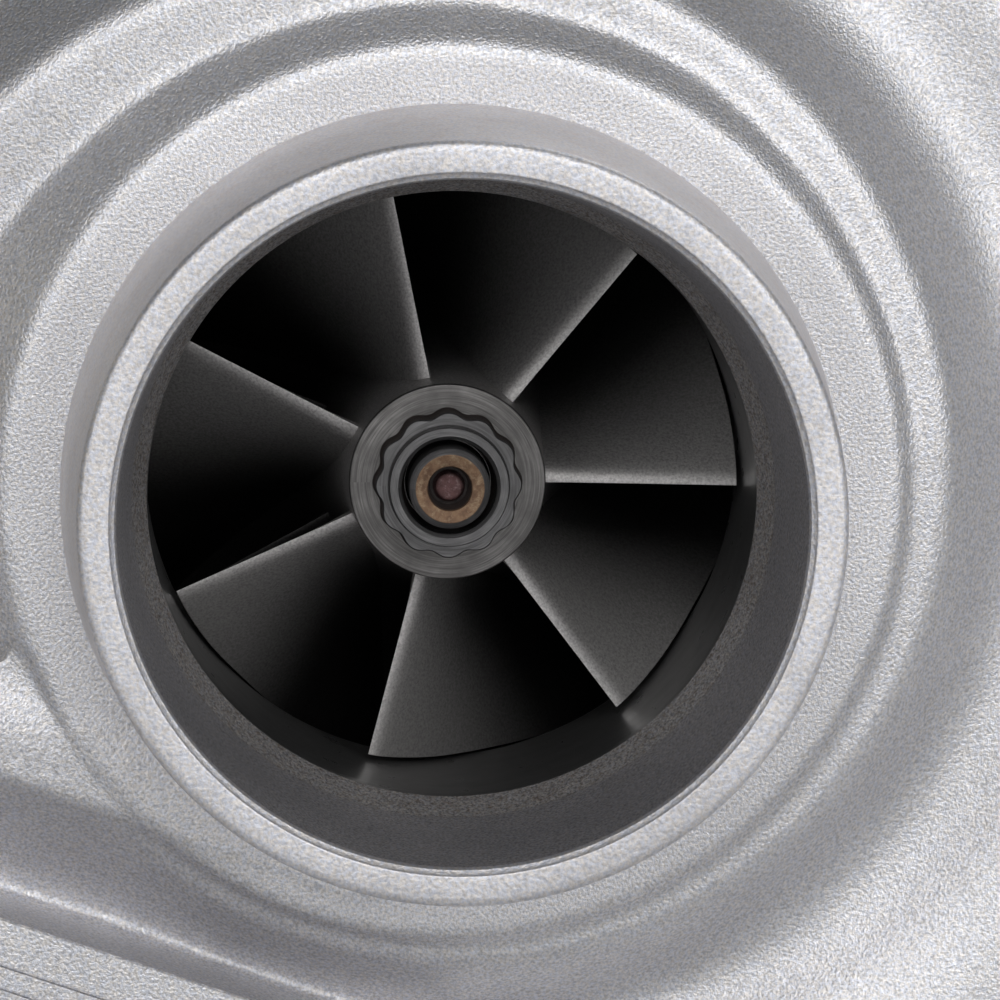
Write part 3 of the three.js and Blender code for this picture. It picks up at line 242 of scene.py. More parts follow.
def link_outline(a, b, steps=24):
    """The outline round two circles (u, v, radius)."""
    (au, av, ar), (bu, bv, br) = a, b
    heading = math.atan2(bv - av, bu - au)
    spread = math.acos((ar - br) / math.hypot(bu - au, bv - av))
    turns = [(a, heading + spread, heading - spread + 2 * math.pi), (b, heading - spread, heading + spread)]
    points = []
    for (u, v, radius), low, high in turns:
        for k in range(steps + 1):
            angle = low + (high - low) * k / steps
            points.append((u + radius * math.cos(angle), v + radius * math.sin(angle)))
    return points


def hexagon(name, base, direction, height, across, look, bore=0.0, turn=0.0, flange=0.0):
    """A hexagon head or nut with the curved chamfer that turning leaves, on an optional round washer face."""
    side, up, along = basis(direction)
    start, apothem, steps = Vector(base), across / 2, 72
    rings = []
    for k in range(steps):
        angle = 2 * math.pi * k / steps
        local = (angle % (math.pi / 3)) - math.pi / 6
        corner = apothem / math.cos(local)
        chamfer = max(0.0, corner - apothem * 0.97) * 0.55
        out = side * math.cos(angle + turn) + up * math.sin(angle + turn)
        bottom = flange * 0.35
        ring = [(bore, 0), (apothem * 0.97 if not flange else apothem * 1.12, 0)]
        if flange:
            ring.append((apothem * 1.12, bottom))
        ring += [(corner, bottom + chamfer * 0.4), (corner, height - chamfer), (apothem * 0.95, height)]
        ring.append((bore + apothem * 0.08 if bore else 0, height if bore else height - 0.35))
        if bore:
            ring.append((bore, height - apothem * 0.08))
        rings.append([start + along * d + out * r for r, d in ring])
    points = [p for ring in rings for p in ring]
    return add_mesh(name, points, band_faces(steps, len(rings[0])), look, 28)


def smooth_line(points, count):
    """So many points on a smooth curve through a few given ones (Catmull-Rom)."""
    given = np.asarray(points, float)
    padded = np.vstack([2 * given[0] - given[1], given, 2 * given[-1] - given[-2]])
    result = []
    for s in np.linspace(0, len(given) - 1, count):
        i = min(int(s), len(given) - 2)
        t = s - i
        p0, p1, p2, p3 = padded[i : i + 4]
        square, cube = 2 * p0 - 5 * p1 + 4 * p2 - p3, 3 * p1 - p0 - 3 * p2 + p3
        result.append(0.5 * (2 * p1 + (p2 - p0) * t + square * t**2 + cube * t**3))
    return np.array(result)


# ---------- Castings as distance fields ----------
def spaced(low, high, step, fine=None, fine_step=None):
    """Coordinates from low to high, closer together inside the fine stretch."""
    values = [low]
    while values[-1] < high:
        inside = fine and fine[0] <= values[-1] < fine[1]
        values.append(values[-1] + (fine_step if inside else step))
    return np.array(values, np.float32)


def soft_min(a, b, width):
    """The union of two fields with a fillet."""
    near = np.maximum(width - np.abs(a - b), 0) / width
    return np.minimum(a, b) - near * near * width / 4


def soft_max(a, b, width):
    """The intersection of two fields with a rounded edge."""
    return -soft_min(-a, -b, width)


def cut(body, tool):
    """The body's field without the tool."""
    return np.maximum(body, -tool)


class Space:
    """A grid of points, with each point's radius and angle about the shaft."""

    def __init__(self, xs, ys, zs):
        self.axes = (xs, ys, zs)
        self.x, self.y, self.z = xs[:, None, None], ys[None, :, None], zs[None, None, :]
        self.r = np.sqrt(self.x**2 + self.z**2)
        self.angle = np.degrees(np.arctan2(self.z, self.x))

    def bar(self, start, end, radius):
        """The field of a flat-ended cylinder."""
        start, end = np.array(start, float), np.array(end, float)
        length = np.linalg.norm(end - start)
        dx, dy, dz = (end - start) / length
        px, py, pz = self.x - start[0], self.y - start[1], self.z - start[2]
        along = px * dx + py * dy + pz * dz
        off = np.sqrt(np.maximum(px**2 + py**2 + pz**2 - along**2, 0))
        return soft_max(off - radius, np.abs(along - length / 2) - length / 2, 0.8)

    def box(self, low, high, edge=0.8):
        """The field of a block with rounded edges."""
        sides = []
        for value, a, b in zip((self.x, self.y, self.z), low, high):
            sides.append(np.abs(value - (a + b) / 2) - (b - a) / 2)
        return soft_max(soft_max(sides[0], sides[1], edge), sides[2], edge)

    def turned(self, polygon, reach=110):
        """The field of a solid turned about the shaft, from (radius, y) points."""
        radii = np.arange(0, reach, 0.25)
        ys = self.axes[1].astype(float)
        r, y = radii[None, :], ys[:, None]
        distance = np.full((len(ys), len(radii)), 1e9)
        inside = np.zeros(distance.shape, bool)
        for (r0, y0), (r1, y1) in zip(polygon, polygon[1:] + polygon[:1]):
            er, ey = r1 - r0, y1 - y0
            t = np.clip(((r - r0) * er + (y - y0) * ey) / (er * er + ey * ey), 0, 1)
            distance = np.minimum(distance, np.hypot(r - r0 - t * er, y - y0 - t * ey))
            crosses = (y0 > y) != (y1 > y)
            if y1 != y0:
                inside ^= crosses & (r < er * (y - y0) / ey + r0)
        table = np.where(inside, -distance, distance)
        plane = self.r[:, 0, :]
        field = [np.interp(plane, radii, row) for row in table]
        return np.stack(field, axis=1).astype(np.float32)

    def from_axis(self, x, z):
        """Each point's distance from a line that runs along Y."""
        return np.sqrt((self.x - x) ** 2 + (self.z - z) ** 2)

    def past(self, start):
        """Degrees clockwise round the shaft from the start angle."""
        return np.mod(start - self.angle, 360)

    def skin(self, name, field, look, sharp=50):
        """The field's surface as a mesh object."""
        grid = openvdb.FloatGrid(FIELD_REACH)
        grid.copyFromArray(np.ascontiguousarray(np.clip(field, -FIELD_REACH, FIELD_REACH), np.float32))
        points, quads = grid.convertToQuads(isovalue=0.0)
        places = [np.interp(points[:, i], np.arange(len(axis)), axis) for i, axis in enumerate(self.axes)]
        return add_mesh(name, np.stack(places, axis=1), quads[:, ::-1], look, sharp, outward=False)


def eased(pairs, at):
    """Values read from (position, value) pairs."""
    places, values = zip(*pairs)
    return np.interp(at, places, values)


def scroll_at(sweep):
    """The scroll's centre radius, passage radius and y at degrees past the tongue."""
    share = np.where(sweep <= OUTLET_SWEEP, sweep / OUTLET_SWEEP, (360 - sweep) / (360 - OUTLET_SWEEP))
    inner = SCROLL_SMALL + (SCROLL_LARGE - SCROLL_SMALL) * share
    return SCROLL_NEAR + (SCROLL_FAR - SCROLL_NEAR) * share, inner, DIFFUSER_BACK - inner


# Radii in millimetres at degrees past the tongue: the terrace round the plateau, and the fillet behind it.
FILLET = [(0, 7), (250, 7), (290, 3), (345, 3), (360, 7)]
TERRACE_INNER = [(0, 43), (65, 38.6), (85, 37.9), (125, 37.2), (140, 37), (155, 36.4), (200, 35.5)]
TERRACE_INNER += [(290, 35.2), (360, 35.0)]
TERRACE_OUTER = [(0, 52), (65, 45), (90, 42.7), (140, 40.4), (170, 38.9), (200, 38.1), (245, 37.6)]
TERRACE_OUTER += [(275, 37.0), (300, 36.2), (345, 35.8), (360, 46)]
CLAMP_BOLTS = [polar(CLAMP_CIRCLE, CLAMP_FIRST + 360 * k / CLAMP_COUNT) for k in range(CLAMP_COUNT)]
OUTLET_OUT = polar(1, TONGUE - OUTLET_SWEEP)
OUTLET_ALONG = (OUTLET_OUT[1], -OUTLET_OUT[0])
OUTLET_Y = DIFFUSER_BACK - SCROLL_LARGE


def near_outlet(along, out, y):
    """A point so far along the outlet duct and so far from the shaft."""
    x, z = (OUTLET_ALONG[i] * along + OUTLET_OUT[i] * out for i in range(2))
    return x, y, z


CONTOUR = [(THROAT, -44.7), (24.0, -39.4), (25.6, -35.6), (28.2, -32.5), (30.6, -30.8)]


def compressor_casting(look):
    """The cast body as one skin: scroll, plateau, terrace, shelf, outlet duct, pad and rear flange."""
    space = Space(
        spaced(-100, 82, 1.05, (-37, 44), 0.55),
        spaced(-72, -12, 0.95, (-69, -50), 0.55),
        spaced(-84, 76, 1.05, (-41, 40), 0.55),
    )
    r, y = space.r, space.y
    sweep = space.past(TONGUE)
    axis, inner, scroll_y = scroll_at(sweep)
    across = np.sqrt((r - axis) ** 2 + (y - scroll_y) ** 2)
    scroll = across - inner - SCROLL_WALL
    terrace, edge = eased(TERRACE_INNER, sweep), eased(TERRACE_OUTER, sweep)
    drop = np.maximum(terrace - PLATEAU_EDGE, GROOVE_DEPTH)
    steep = drop / np.maximum(terrace - PLATEAU_EDGE, 0.1)
    level = BASE_Y + drop
    face = soft_max(BASE_Y + 0 * r, BASE_Y + (r - PLATEAU_EDGE) * steep, 0.8)
    face = soft_min(face, level, 0.5)
    face = soft_max(face, level + (r - edge) * 1.15, 1.3)
    core = soft_max((face - y) * 0.75, y - FLANGE_REAR + 1.5, 0.6)
    core = soft_max(core, r - np.minimum(axis, FLANGE_R + 2), 1.0)
    rear, rim = FLANGE_REAR - 1, FLANGE_R - 1
    flange = space.turned([(30, -30), (rim, -30), (rim, rear), (30, rear)]) - 1
    body = soft_min(scroll, core, eased(FILLET, sweep))
    body = soft_min(body, flange, 1.5)

    along = space.x * OUTLET_ALONG[0] + space.z * OUTLET_ALONG[1]
    out = space.x * OUTLET_OUT[0] + space.z * OUTLET_OUT[1]
    duct_off = np.sqrt((out - SCROLL_FAR) ** 2 + (y - OUTLET_Y) ** 2)
    duct_end = np.abs(along - SPIGOT_START / 2) - SPIGOT_START / 2 - 2
    duct = np.maximum(duct_off - SCROLL_LARGE - SCROLL_WALL, duct_end)
    body = soft_min(body, duct, 2.5)
    shelf = (BASE_Y + SHELF_STEP + np.maximum(out - SHELF_EDGE, 0) * 0.9 - y) * 0.8
    shelf = soft_max(soft_max(shelf, out - 46, 1.0), 24 - out, 5.0)
    shelf = soft_max(shelf, np.abs(along - 15) - 23, 6.0)
    body = soft_min(body, soft_max(shelf, y + 45, 1.0), 1.2)
    pad = soft_max(-(y + PAD_Y), PAD_EDGE - out, 0.5)
    pad = soft_max(pad, out - PAD_FAR, 2.0)
    pad = soft_max(pad, np.abs(along - PAD_MIDDLE) - PAD_HALF, 2.0)
    pad = soft_max(pad, y + 48, 1.0)
    body = soft_min(body, pad, 2.0)
    for x, z in BRACKET_BOSSES:
        body = soft_min(body, space.bar((x, -34, z), (x, ACTUATOR_REAR, z), 6.5), 2.5)

    duct_passage = np.maximum(duct_off - SCROLL_LARGE + 0.2, np.abs(along - 40) - 42)
    body = cut(body, np.minimum(across - inner, duct_passage))
    bore = [(r + 1.4, y) for r, y in [(THROAT, -75), *CONTOUR[:-1]]]
    hollow = [(0, -75), *bore, (31.5, -32.2), (45.4, -32.2), (45.4, DIFFUSER_BACK), (45.6, DIFFUSER_BACK)]
    hollow += [(45.6, -22), (47.6, -22), (47.6, -10), (0, -10)]
    body = cut(body, space.turned(hollow))
    for x, z in CLAMP_BOLTS:
        body = cut(body, space.bar((x, -23, z), (x, -10, z), 3.2))
    return space.skin("compressor_casting", body, look)


def pad_face(look):
    """The machined face of the pad on the outlet duct, with three fine grooves along it."""
    top, first, last = -PAD_Y - 0.45, PAD_EDGE + 0.05, PAD_FAR - 1.2
    profile = [(first, top + 1.2), (first, top + 0.15), (first + 0.15, top)]
    for middle in PAD_GROOVES:
        profile += [(middle - 0.14, top), (middle - 0.07, top + 0.35)]
        profile += [(middle + 0.07, top + 0.35), (middle + 0.14, top)]
    profile += [(last - 0.3, top), (last, top + 0.3), (last, top + 1.2)]
    rows = np.linspace(PAD_MIDDLE - PAD_HALF + 1.4, PAD_MIDDLE + PAD_HALF - 1.4, 40)
    points = [near_outlet(along, out, y) for along in rows for out, y in profile]
    count = len(profile)
    faces = band_faces(len(rows), count, False)
    faces += [tuple(range(count)), tuple(range(len(points) - count, len(points)))]
    return add_mesh("outlet_pad_face", points, faces, look, 30)


def outlet_spigot(look):
    """The turned end of the outlet duct, with the bead that holds the hose."""
    outer, inner, end = SCROLL_LARGE + SCROLL_WALL + 0.03, SCROLL_LARGE - 0.24, OUTLET_LENGTH
    profile = [(inner, SPIGOT_START), (outer, SPIGOT_START), (outer, end - 6.4, 0.6)]
    profile += [(outer + OUTLET_BEAD, end - 5.2, 0.8), (outer + OUTLET_BEAD, end - 2.8, 0.8)]
    profile += [(outer, end - 1.6, 0.6), (outer - 0.2, end, 0.5), (inner, end, 0.6)]
    start = near_outlet(0, SCROLL_FAR, OUTLET_Y)
    return turned("outlet_spigot", profile, look, start, near_outlet(1, 0, 0))


def compressor_inlet(looks):
    """The inlet boss, its rim, the cast taper, the machined bore and the contour over the blades."""
    taper_look, rim_look, bore_look, lip_look, boss_look = range(len(looks))
    outside = [(BASE_OUTER + 0.1, -61.8), (RIM_OUTER + 0.03, RIM_Y + 1.6), (RIM_OUTER, RIM_Y, 1.5)]
    rim = [(RIM_STEP, RIM_Y, 0.2), (RIM_STEP - 0.12, RIM_Y + 0.22), (RIM_INNER + 0.15, RIM_Y + 0.42, 0.15)]
    taper = [(RIM_INNER, RIM_Y + 0.8, 0.3), (25.2, -76), (24.85, -69.5), (24.45, -66.4, 1.2)]
    inside = [(THROAT + 0.08, BASE_Y - 0.45, 0.5), (THROAT, BASE_Y + 0.35, 0.2), *CONTOUR, (44.5, -30.8, 0.2)]
    hidden = [(44.5, -33.4), (33, -33.4), (29, -38), (27.5, -45), (27.5, -60), (BASE_OUTER - 1, -60)]
    piece = turned("compressor_inlet", outside + rim + taper + inside + hidden, looks, segments=256)
    mesh = piece.data
    for face in mesh.polygons:
        x, y, z = (face.center - SHAFT) / MM
        r = math.hypot(x, z)
        if y > BASE_Y - 0.05 and r < 45:
            face.material_index = bore_look if r < BASE_OUTER - 2 else taper_look
        elif y < RIM_Y + 1.1 and r > RIM_INNER:
            face.material_index = rim_look
        elif y > LIP_Y and r < RIM_INNER:
            face.material_index = lip_look
        elif r > RIM_INNER + 0.5:
            face.material_index = boss_look
    return piece


# ---------- Rotor ----------
# (radius, y) along a blade's hub and tip from its leading edge, and the degrees that it trails there.
HUB_LINE = [(7.75, -52.3), (8.1, -48.5), (9.0, -43.2), (11.0, -38.4), (14.6, -33.4), (20.5, -29.4)]
HUB_LINE += [(29.9, -27.5)]
TIP_LINE = [(22.75, -51.8), (22.85, -48.0), (23.1, -44.0), (24.1, -39.3), (25.6, -35.9), (27.8, -32.6)]
TIP_LINE += [(29.9, -30.6)]
TRAIL = [0, 11.5, 24, 36, 45, 52.5, 60]


def blade_mesh(name, look, first, lines, start, thick, stations=40, spans=12):
    """One blade: its (hub, tip, trail) lines, the share that it starts at, and its root and tip thickness."""
    hub, tip = (smooth_line(line, stations) for line in lines[:2])
    angles = smooth_line([(t, 0) for t in lines[2]], stations)[:, 0]
    begin = int(start * (stations - 1))
    shares = np.linspace(-0.06, 1, spans)  # the root reaches a little into the hub
    points = []
    for i in range(begin, stations):
        sharpened = min(1, 0.35 + 0.5 * (i - begin) ** 0.5)
        flared = min(1, (i - begin) / 8)
        for side, across in ((-1, shares), (1, shares[::-1])):
            for share in across:
                r, y = hub[i] * (1 - share) + tip[i] * share
                thickness = thick[0] + (thick[1] - thick[0]) * max(share, 0) ** 0.7
                flare = 9.1 * max(0.0, 0.1 - share) * flared
                turn = math.radians(first + angles[i]) + side * (thickness * sharpened + flare) / 2 / r
                points.append((r * math.cos(turn), y, r * math.sin(turn)))
    count = 2 * spans
    faces = band_faces(len(points) // count, count, False)
    for ring in (0, len(points) - count):
        ends = [(ring + k, ring + count - 1 - k) for k in range(count // 2)]
        faces += [(a, c, d, b) for (a, b), (c, d) in zip(ends, ends[1:])]
    return add_mesh(name, points, faces, look, 50)


def compressor_wheel(looks):
    """The hub with its full and splitter blades."""
    blade_look, nose_look = looks
    lines = (HUB_LINE, TIP_LINE, TRAIL)
    hub_profile = [(3.3, -56), (7.55, -56, 0.12), (7.62, -55.7, 0.1), (7.7, -53.5)]
    hub_profile += [tuple(p) for p in smooth_line(HUB_LINE, 40)[1:]]
    hub_profile += [(29.95, -26.4, 0.2), (12, -24.6, 2), (3.3, -24.6)]
    hub = turned("compressor_hub", hub_profile, [blade_look, nose_look], segments=168, sharp=40)
    for face in hub.data.polygons:
        if (face.center.y - SHAFT.y) / MM < -54.9:
            face.material_index = 1
    pieces = [hub]
    for k in range(BLADE_COUNT):
        first = BLADE_FIRST + 360 / BLADE_COUNT * k
        pieces.append(blade_mesh(f"blade_{k}", blade_look, first, lines, 0, (1.5, 0.62)))
        first += 180 / BLADE_COUNT
        pieces.append(blade_mesh(f"splitter_{k}", blade_look, first, lines, SPLITTER_START, (1.3, 0.62)))
    return merged("compressor_wheel_bladed", pieces)


def wheel_nut(looks):
    """A twelve-point nut with painted shade on its flanks and base ring, a turned collar and a countersunk
    thread.
    """
    steps, points = 288, []
    for k in range(steps):
        angle = 2 * math.pi * k / steps
        wave = 5.5 + 0.19 * math.cos(12 * angle) - 0.015 * math.cos(24 * angle)
        ring = [(3.35, -56.05), (wave + 0.13, -56.04), (wave, -56.3), (wave - 0.02, -58.1)]
        ring += [(wave - 0.12, -58.25), (4.72, -58.27), (4.64, -58.34), (4.62, -58.5), (4.62, -59.3)]
        ring += [(4.55, -59.4), (3.95, -59.4), (3.68, -59.15), (3.62, -57.5)]
        points += [(r * math.cos(angle), y, r * math.sin(angle)) for r, y in ring]
    count = len(ring)
    piece = add_mesh("wheel_nut", points, band_faces(steps, count), looks, 30)
    for face in piece.data.polygons:
        # The base ring, its small chamfer, the flanks and the inner bore take the painted shade.
        face.material_index = int(face.index % count in (0, 1, 2, count - 1))
    return piece


def rotor_shaft(looks):
    """The shaft, with the countersunk browned end that shows through the nut."""
    profile = [(0.01, -59.0), (1.0, -59.05, 0.3), (1.25, -58.2), (1.45, -58.2), (1.68, -59.8, 0.1)]
    profile += [(1.72, -60.25, 0.1), (2.62, SHAFT_FRONT, 0.1), (3.12, -60.0, 0.15), (3.12, -57.2)]
    for k in range(7):
        profile += [(2.85, -56.9 + k * 0.75), (3.12, -56.55 + k * 0.75)]
    profile += [(3, -50), (3, -10.2, 0.3), (4.5, -10.2, 0.2), (4.5, 22, 0.4), (8.2, 22, 0.3), (8.2, 25.8)]
    profile += [(6.6, 25.8), (6.6, 27.8), (8.2, 27.8), (8.2, 33.2, 0.3), (0.01, 33.2)]
    piece = turned("rotor_shaft_turned", profile, looks, segments=96)
    for face in piece.data.polygons:
        x, y, z = (face.center - SHAFT) / MM
        r = math.hypot(x, z)
        # The wall of the hole, between radii 1.22 and 1.6, takes the painted shade.
        if y < -57.8:
            face.material_index = 3 if r < 1.22 else 2 if r < 1.6 else 1 if r < 2.7 else 0
    return piece


TURBINE_HUB = [(24.9, 36.9), (19, 37.6), (14, 40), (10.6, 44.5), (8.7, 50), (7.7, 56), (7.2, 62)]
TURBINE_TIP = [(25.8, 46.1), (25.0, 47.2), (23.8, 50), (22.9, 53.2), (22.5, 56), (22.4, 59), (22.4, 62)]
TURBINE_TRAIL = [0, 0, 2, 7, 15, 26, 38]
TURBINE_BLADES = 11


def turbine_wheel(look):
    """The hub with its eleven blades."""
    profile = [(0.01, 33.6), (8.6, 33.6, 0.3), (9.6, 35.5, 0.6), (24.7, 35.5, 0.3)]
    profile += [tuple(p) for p in smooth_line(TURBINE_HUB, 30)]
    profile += [(6.6, 63.2, 0.5), (6.0, 65.6, 0.4), (5.2, 66, 0.3), (3.4, 66), (3.0, 64.6), (0.01, 64.4)]
    pieces = [turned("turbine_hub", profile, look, segments=120, sharp=40)]
    lines = (TURBINE_HUB, TURBINE_TIP, TURBINE_TRAIL)
    for k in range(TURBINE_BLADES):
        first = 360 / TURBINE_BLADES * k
        pieces.append(blade_mesh(f"vane_{k}", look, first, lines, 0, (2.2, 0.9), 28, 8))
    return merged("turbine_wheel_bladed", pieces)


# ---------- Centre ----------
def bearing_casting(look):
    """The bearing housing with its oil pad, drain block and water bosses."""
    space = Space(spaced(-52, 52, 0.9), spaced(-23, 36, 0.9), spaced(-50, 50, 0.9))
    front, rear = -19.7, 28.7
    outline = [(5, front), (46.9, front), (46.9, FLANGE_REAR), (34, FLANGE_REAR), (31, -9), (29, 0), (29, 14)]
    outline += [(31.5, 21.5), (36, 24.6), (39.8, 24.6), (39.8, rear), (22, rear), (19, 32), (13, 33), (5, 33)]
    body = space.turned(outline)
    body = soft_min(body, space.box((-14, -6, 20), (14, 18, 41.8), 3), 4)
    body = soft_min(body, space.box((-24, -7.2, -46), (24, 21, -38), 2.5), 4)
    body = soft_min(body, space.bar((0, PORT_Y, -45), (0, PORT_Y, -20), 15), 4)
    body = soft_min(body, space.bar((24, PORT_Y, 12), (42.8, PORT_Y, 20.9), 10.4), 3)
    body = soft_min(body, space.bar((-24, PORT_Y, -8), (-42.8, PORT_Y, -15.9), 10.4), 3)
    for side in (-1, 1):
        body = soft_min(body, space.box((side * 22 - 2, -14, -16), (side * 22 + 2, 24, -13), 2), 3)
    hollow = [(0, -21), (20, -21), (20, -9.5), (8, -9.5), (8, 21.6), (8.8, 21.6), (8.8, 40), (0, 40)]
    body = cut(body, space.turned(hollow))
    body = cut(body, space.bar((0, PORT_Y, -50), (0, PORT_Y, -5), 8.5))
    body = cut(body, space.bar((0, PORT_Y, 50), (0, PORT_Y, 5), 4.3))
    for side in (-1, 1):
        body = cut(body, space.bar((side * 17, PORT_Y, -50), (side * 17, PORT_Y, -36), 3.4))
    return space.skin("bearing_casting", body, look)


# ---------- Turbine housing ----------
def cavity_field(space, grow):
    """The field of the outlet's outline, the hull of two circles."""
    sx, sz = CAVITY_SIDE
    share = np.clip((space.x * sx + space.z * sz) / (sx * sx + sz * sz), 0, 1)
    radius = CAVITY_RADII[0] + (CAVITY_RADII[1] - CAVITY_RADII[0]) * share
    return np.sqrt((space.x - sx * share) ** 2 + (space.z - sz * share) ** 2) - radius - grow


def inlet_duct_field(space, grow):
    """The duct from the volute down to the foot: round above, nearly rectangular below."""
    share = np.clip(space.z / FLOOR_Z, 0, 1)
    x, y = -47 + 17 * share, VOLUTE_Y_LARGE
    half_x, half_y = VOLUTE_LARGE + 9 * share + grow, VOLUTE_LARGE + 2 * share + grow
    power = 2 + 4 * share
    ratio = (np.abs((space.x - x) / half_x) ** power + np.abs((space.y - y) / half_y) ** power) ** (1 / power)
    return soft_max((ratio - 1) * np.minimum(half_x, half_y), space.z, 1.0)


def turbine_casting(look):
    """The cast body as one skin: volute, outlet cavity, inlet duct, foot, spindle boss and lugs."""
    space = Space(spaced(-84, 58, 1.25), spaced(28, 116.5, 1.25), spaced(FLOOR_Z - 2, 74, 1.25))
    sweep = space.past(180)
    share = np.where(sweep <= 325, 1 - sweep / 325, (sweep - 325) / 35)
    inner = VOLUTE_SMALL + (VOLUTE_LARGE - VOLUTE_SMALL) * share
    axis, centre_y = VOLUTE_INNER + inner, VOLUTE_Y_SMALL + (VOLUTE_Y_LARGE - VOLUTE_Y_SMALL) * share
    across = np.sqrt((space.r - axis) ** 2 + (space.y - centre_y) ** 2)
    body = across - inner - VOLUTE_WALL
    core = [(15, 30.3), (39.8, 30.3), (39.8, 32.4), (37.5, 34.2), (35, 40), (31, 52), (29, 60)]
    core += [(28.8, 74), (15, 74)]
    body = soft_min(body, space.turned(core), 4.0)
    cavity = soft_max(cavity_field(space, 4.4), np.abs(space.y - 83) - 21, 2.5)
    body = soft_min(body, cavity, 5.0)
    duct = np.maximum(inlet_duct_field(space, VOLUTE_WALL), FLOOR_Z + 1 - space.z)
    body = soft_min(body, duct, 4.0)
    body = soft_min(body, space.bar((-50, *SPINDLE), (-76, *SPINDLE), 11), 4.0)
    for x, z in OUTLET_BOLTS:
        lug = soft_max(space.from_axis(x, z) - 8.6, np.abs(space.y - 108) - 5, 1.5)
        body = soft_min(body, lug, 4.0)
    half_x, half_y = FOOT_WIDTH / 2 - 0.5, FOOT_DEPTH / 2 - 0.5
    foot_low = (FOOT_X - half_x, FOOT_Y - half_y, FLOOR_Z + 0.6)
    foot_high = (FOOT_X + half_x, FOOT_Y + half_y, FLOOR_Z + FOOT_THICK)
    body = soft_min(body, space.box(foot_low, foot_high, 1.5), 4.0)
    rim = soft_max(cavity_field(space, 5.0), np.abs(space.y - 108.4) - 4.9, 1.2)
    body = soft_min(body, rim, 2.0)

    hollow = [(0, 20), (32, 20), (32, 37.2), (36, 37.6), (36, 46.9), (27, 46.9), (24.6, 50.6), (23.2, 54.6)]
    hollow += [(23.2, 73), (0, 73)]
    body = cut(body, space.turned(hollow))
    body = cut(body, np.maximum(across - inner, space.y - centre_y - inner))
    body = cut(body, np.maximum(cavity_field(space, 0), CAVITY_FLOOR - space.y))
    body = cut(body, inlet_duct_field(space, 0))
    x, z = WASTEGATE_PORT
    body = cut(body, space.bar((x, 58, z), (x, 76, z), 9))
    body = cut(body, space.bar((-50, *SPINDLE), (-80, *SPINDLE), 7.3))
    for x, y in FOOT_BOLTS:
        body = cut(body, space.bar((x, y, FLOOR_Z - 4), (x, y, FLOOR_Z + FOOT_THICK + 4), 5.9))
    for x, z in OUTLET_BOLTS:
        body = cut(body, space.bar((x, 100, z), (x, 120, z), 4.7))
    return space.skin("turbine_casting", body, look)


def foot_plate(look):
    """The machined face of the foot, with its bolt holes and port."""
    half_x, half_y = FOOT_WIDTH / 2, FOOT_DEPTH / 2
    corners = [(FOOT_X + a * half_x, FOOT_Y + b * half_y, 5) for a, b in ((-1, -1), (1, -1), (1, 1), (-1, 1))]
    port = []
    for k in range(48):
        c, s = polar(1, 360 * k / 48)
        across, along = math.copysign(abs(c) ** (1 / 3), c), math.copysign(abs(s) ** (1 / 3), s)
        port.append((FOOT_X + 23.5 * across, FOOT_Y + 16.5 * along))
    loops = [rounded(corners, 8), port] + [circle(x, y, 5.3) for x, y in FOOT_BOLTS]
    return plate("turbine_foot", loops, 7.5, look, (0, 0, FLOOR_Z + 0.2), ALONG_X, ALONG_Y, 0.5)


def outlet_plate(look):
    """The machined face of the turbine outlet: a rim round the cavity and five drilled lugs."""
    space = Space(spaced(-84, 46, 0.6), spaced(110, 115.5, 0.3), spaced(-48, 76, 0.6))
    body = cut(cavity_field(space, 5.4), cavity_field(space, 0))
    for x, z in OUTLET_BOLTS:
        body = soft_min(body, space.from_axis(x, z) - 8.9, 2.0)
    body = soft_max(body, np.abs(space.y - OUTLET_FACE + 1.25) - 1.25, 0.7)
    for x, z in OUTLET_BOLTS:
        body = soft_max(body, 4.2 - space.from_axis(x, z), 0.5)
    return space.skin("turbine_outlet_face", body, look)


# ---------- V-band ----------
def vband(look):
    """The clamp's V-shaped strip, its folded ears and their rounded ends."""
    outline = [(36.6, 23.4), (40.8, 22.8, 1), (42.9, 25.6, 1.2), (42.9, 31.8, 1.2), (40.8, 34.4, 1)]
    outline += [(38.7, 34.4), (39.6, 32.8, 0.6), (41.6, 31.2, 0.8), (41.6, 26.2, 0.8), (39.8, 24.4, 0.6)]
    outline += [(37, 24.4)]
    profile = rounded(outline)
    opening, rows = 9.5, 161
    points = []
    for degrees in np.linspace(90 + opening, 450 - opening, rows):
        for r, y in profile:
            x, z = polar(r, degrees)
            points.append((x, y, z))
    count = len(profile)
    faces = band_faces(rows, count, False)
    faces += [tuple(range(count)), tuple(range(len(points) - count, len(points)))]
    pieces = [add_mesh("vband_strip", points, faces, look, 35)]
    ear = rounded([(25.2, 40.6, 0.5), (32.4, 40.6, 0.5), (32.4, 57, 3.4), (25.2, 57, 3.4)], 8)
    loops = [ear, circle(VBAND_Y, VBAND_BOLT_Z, 3.3, 24)]
    for x in (5.0, 8.8, -7.2, -11.0):
        pieces.append(plate(f"vband_ear_{x}", loops, 2.2, look, (x, 0, 0), ALONG_Y, ALONG_Z, 0.3))
    trunnion = [(3.4, 0), (4.2, 0), (4.2, 6, 0.3), (3.4, 6)]
    for x in (5.0, -11.0):
        place = (x, VBAND_Y, VBAND_BOLT_Z)
        pieces.append(turned(f"vband_trunnion_{x}", trunnion, look, place, ALONG_X, 32))
    return merged("vband_strap", pieces)


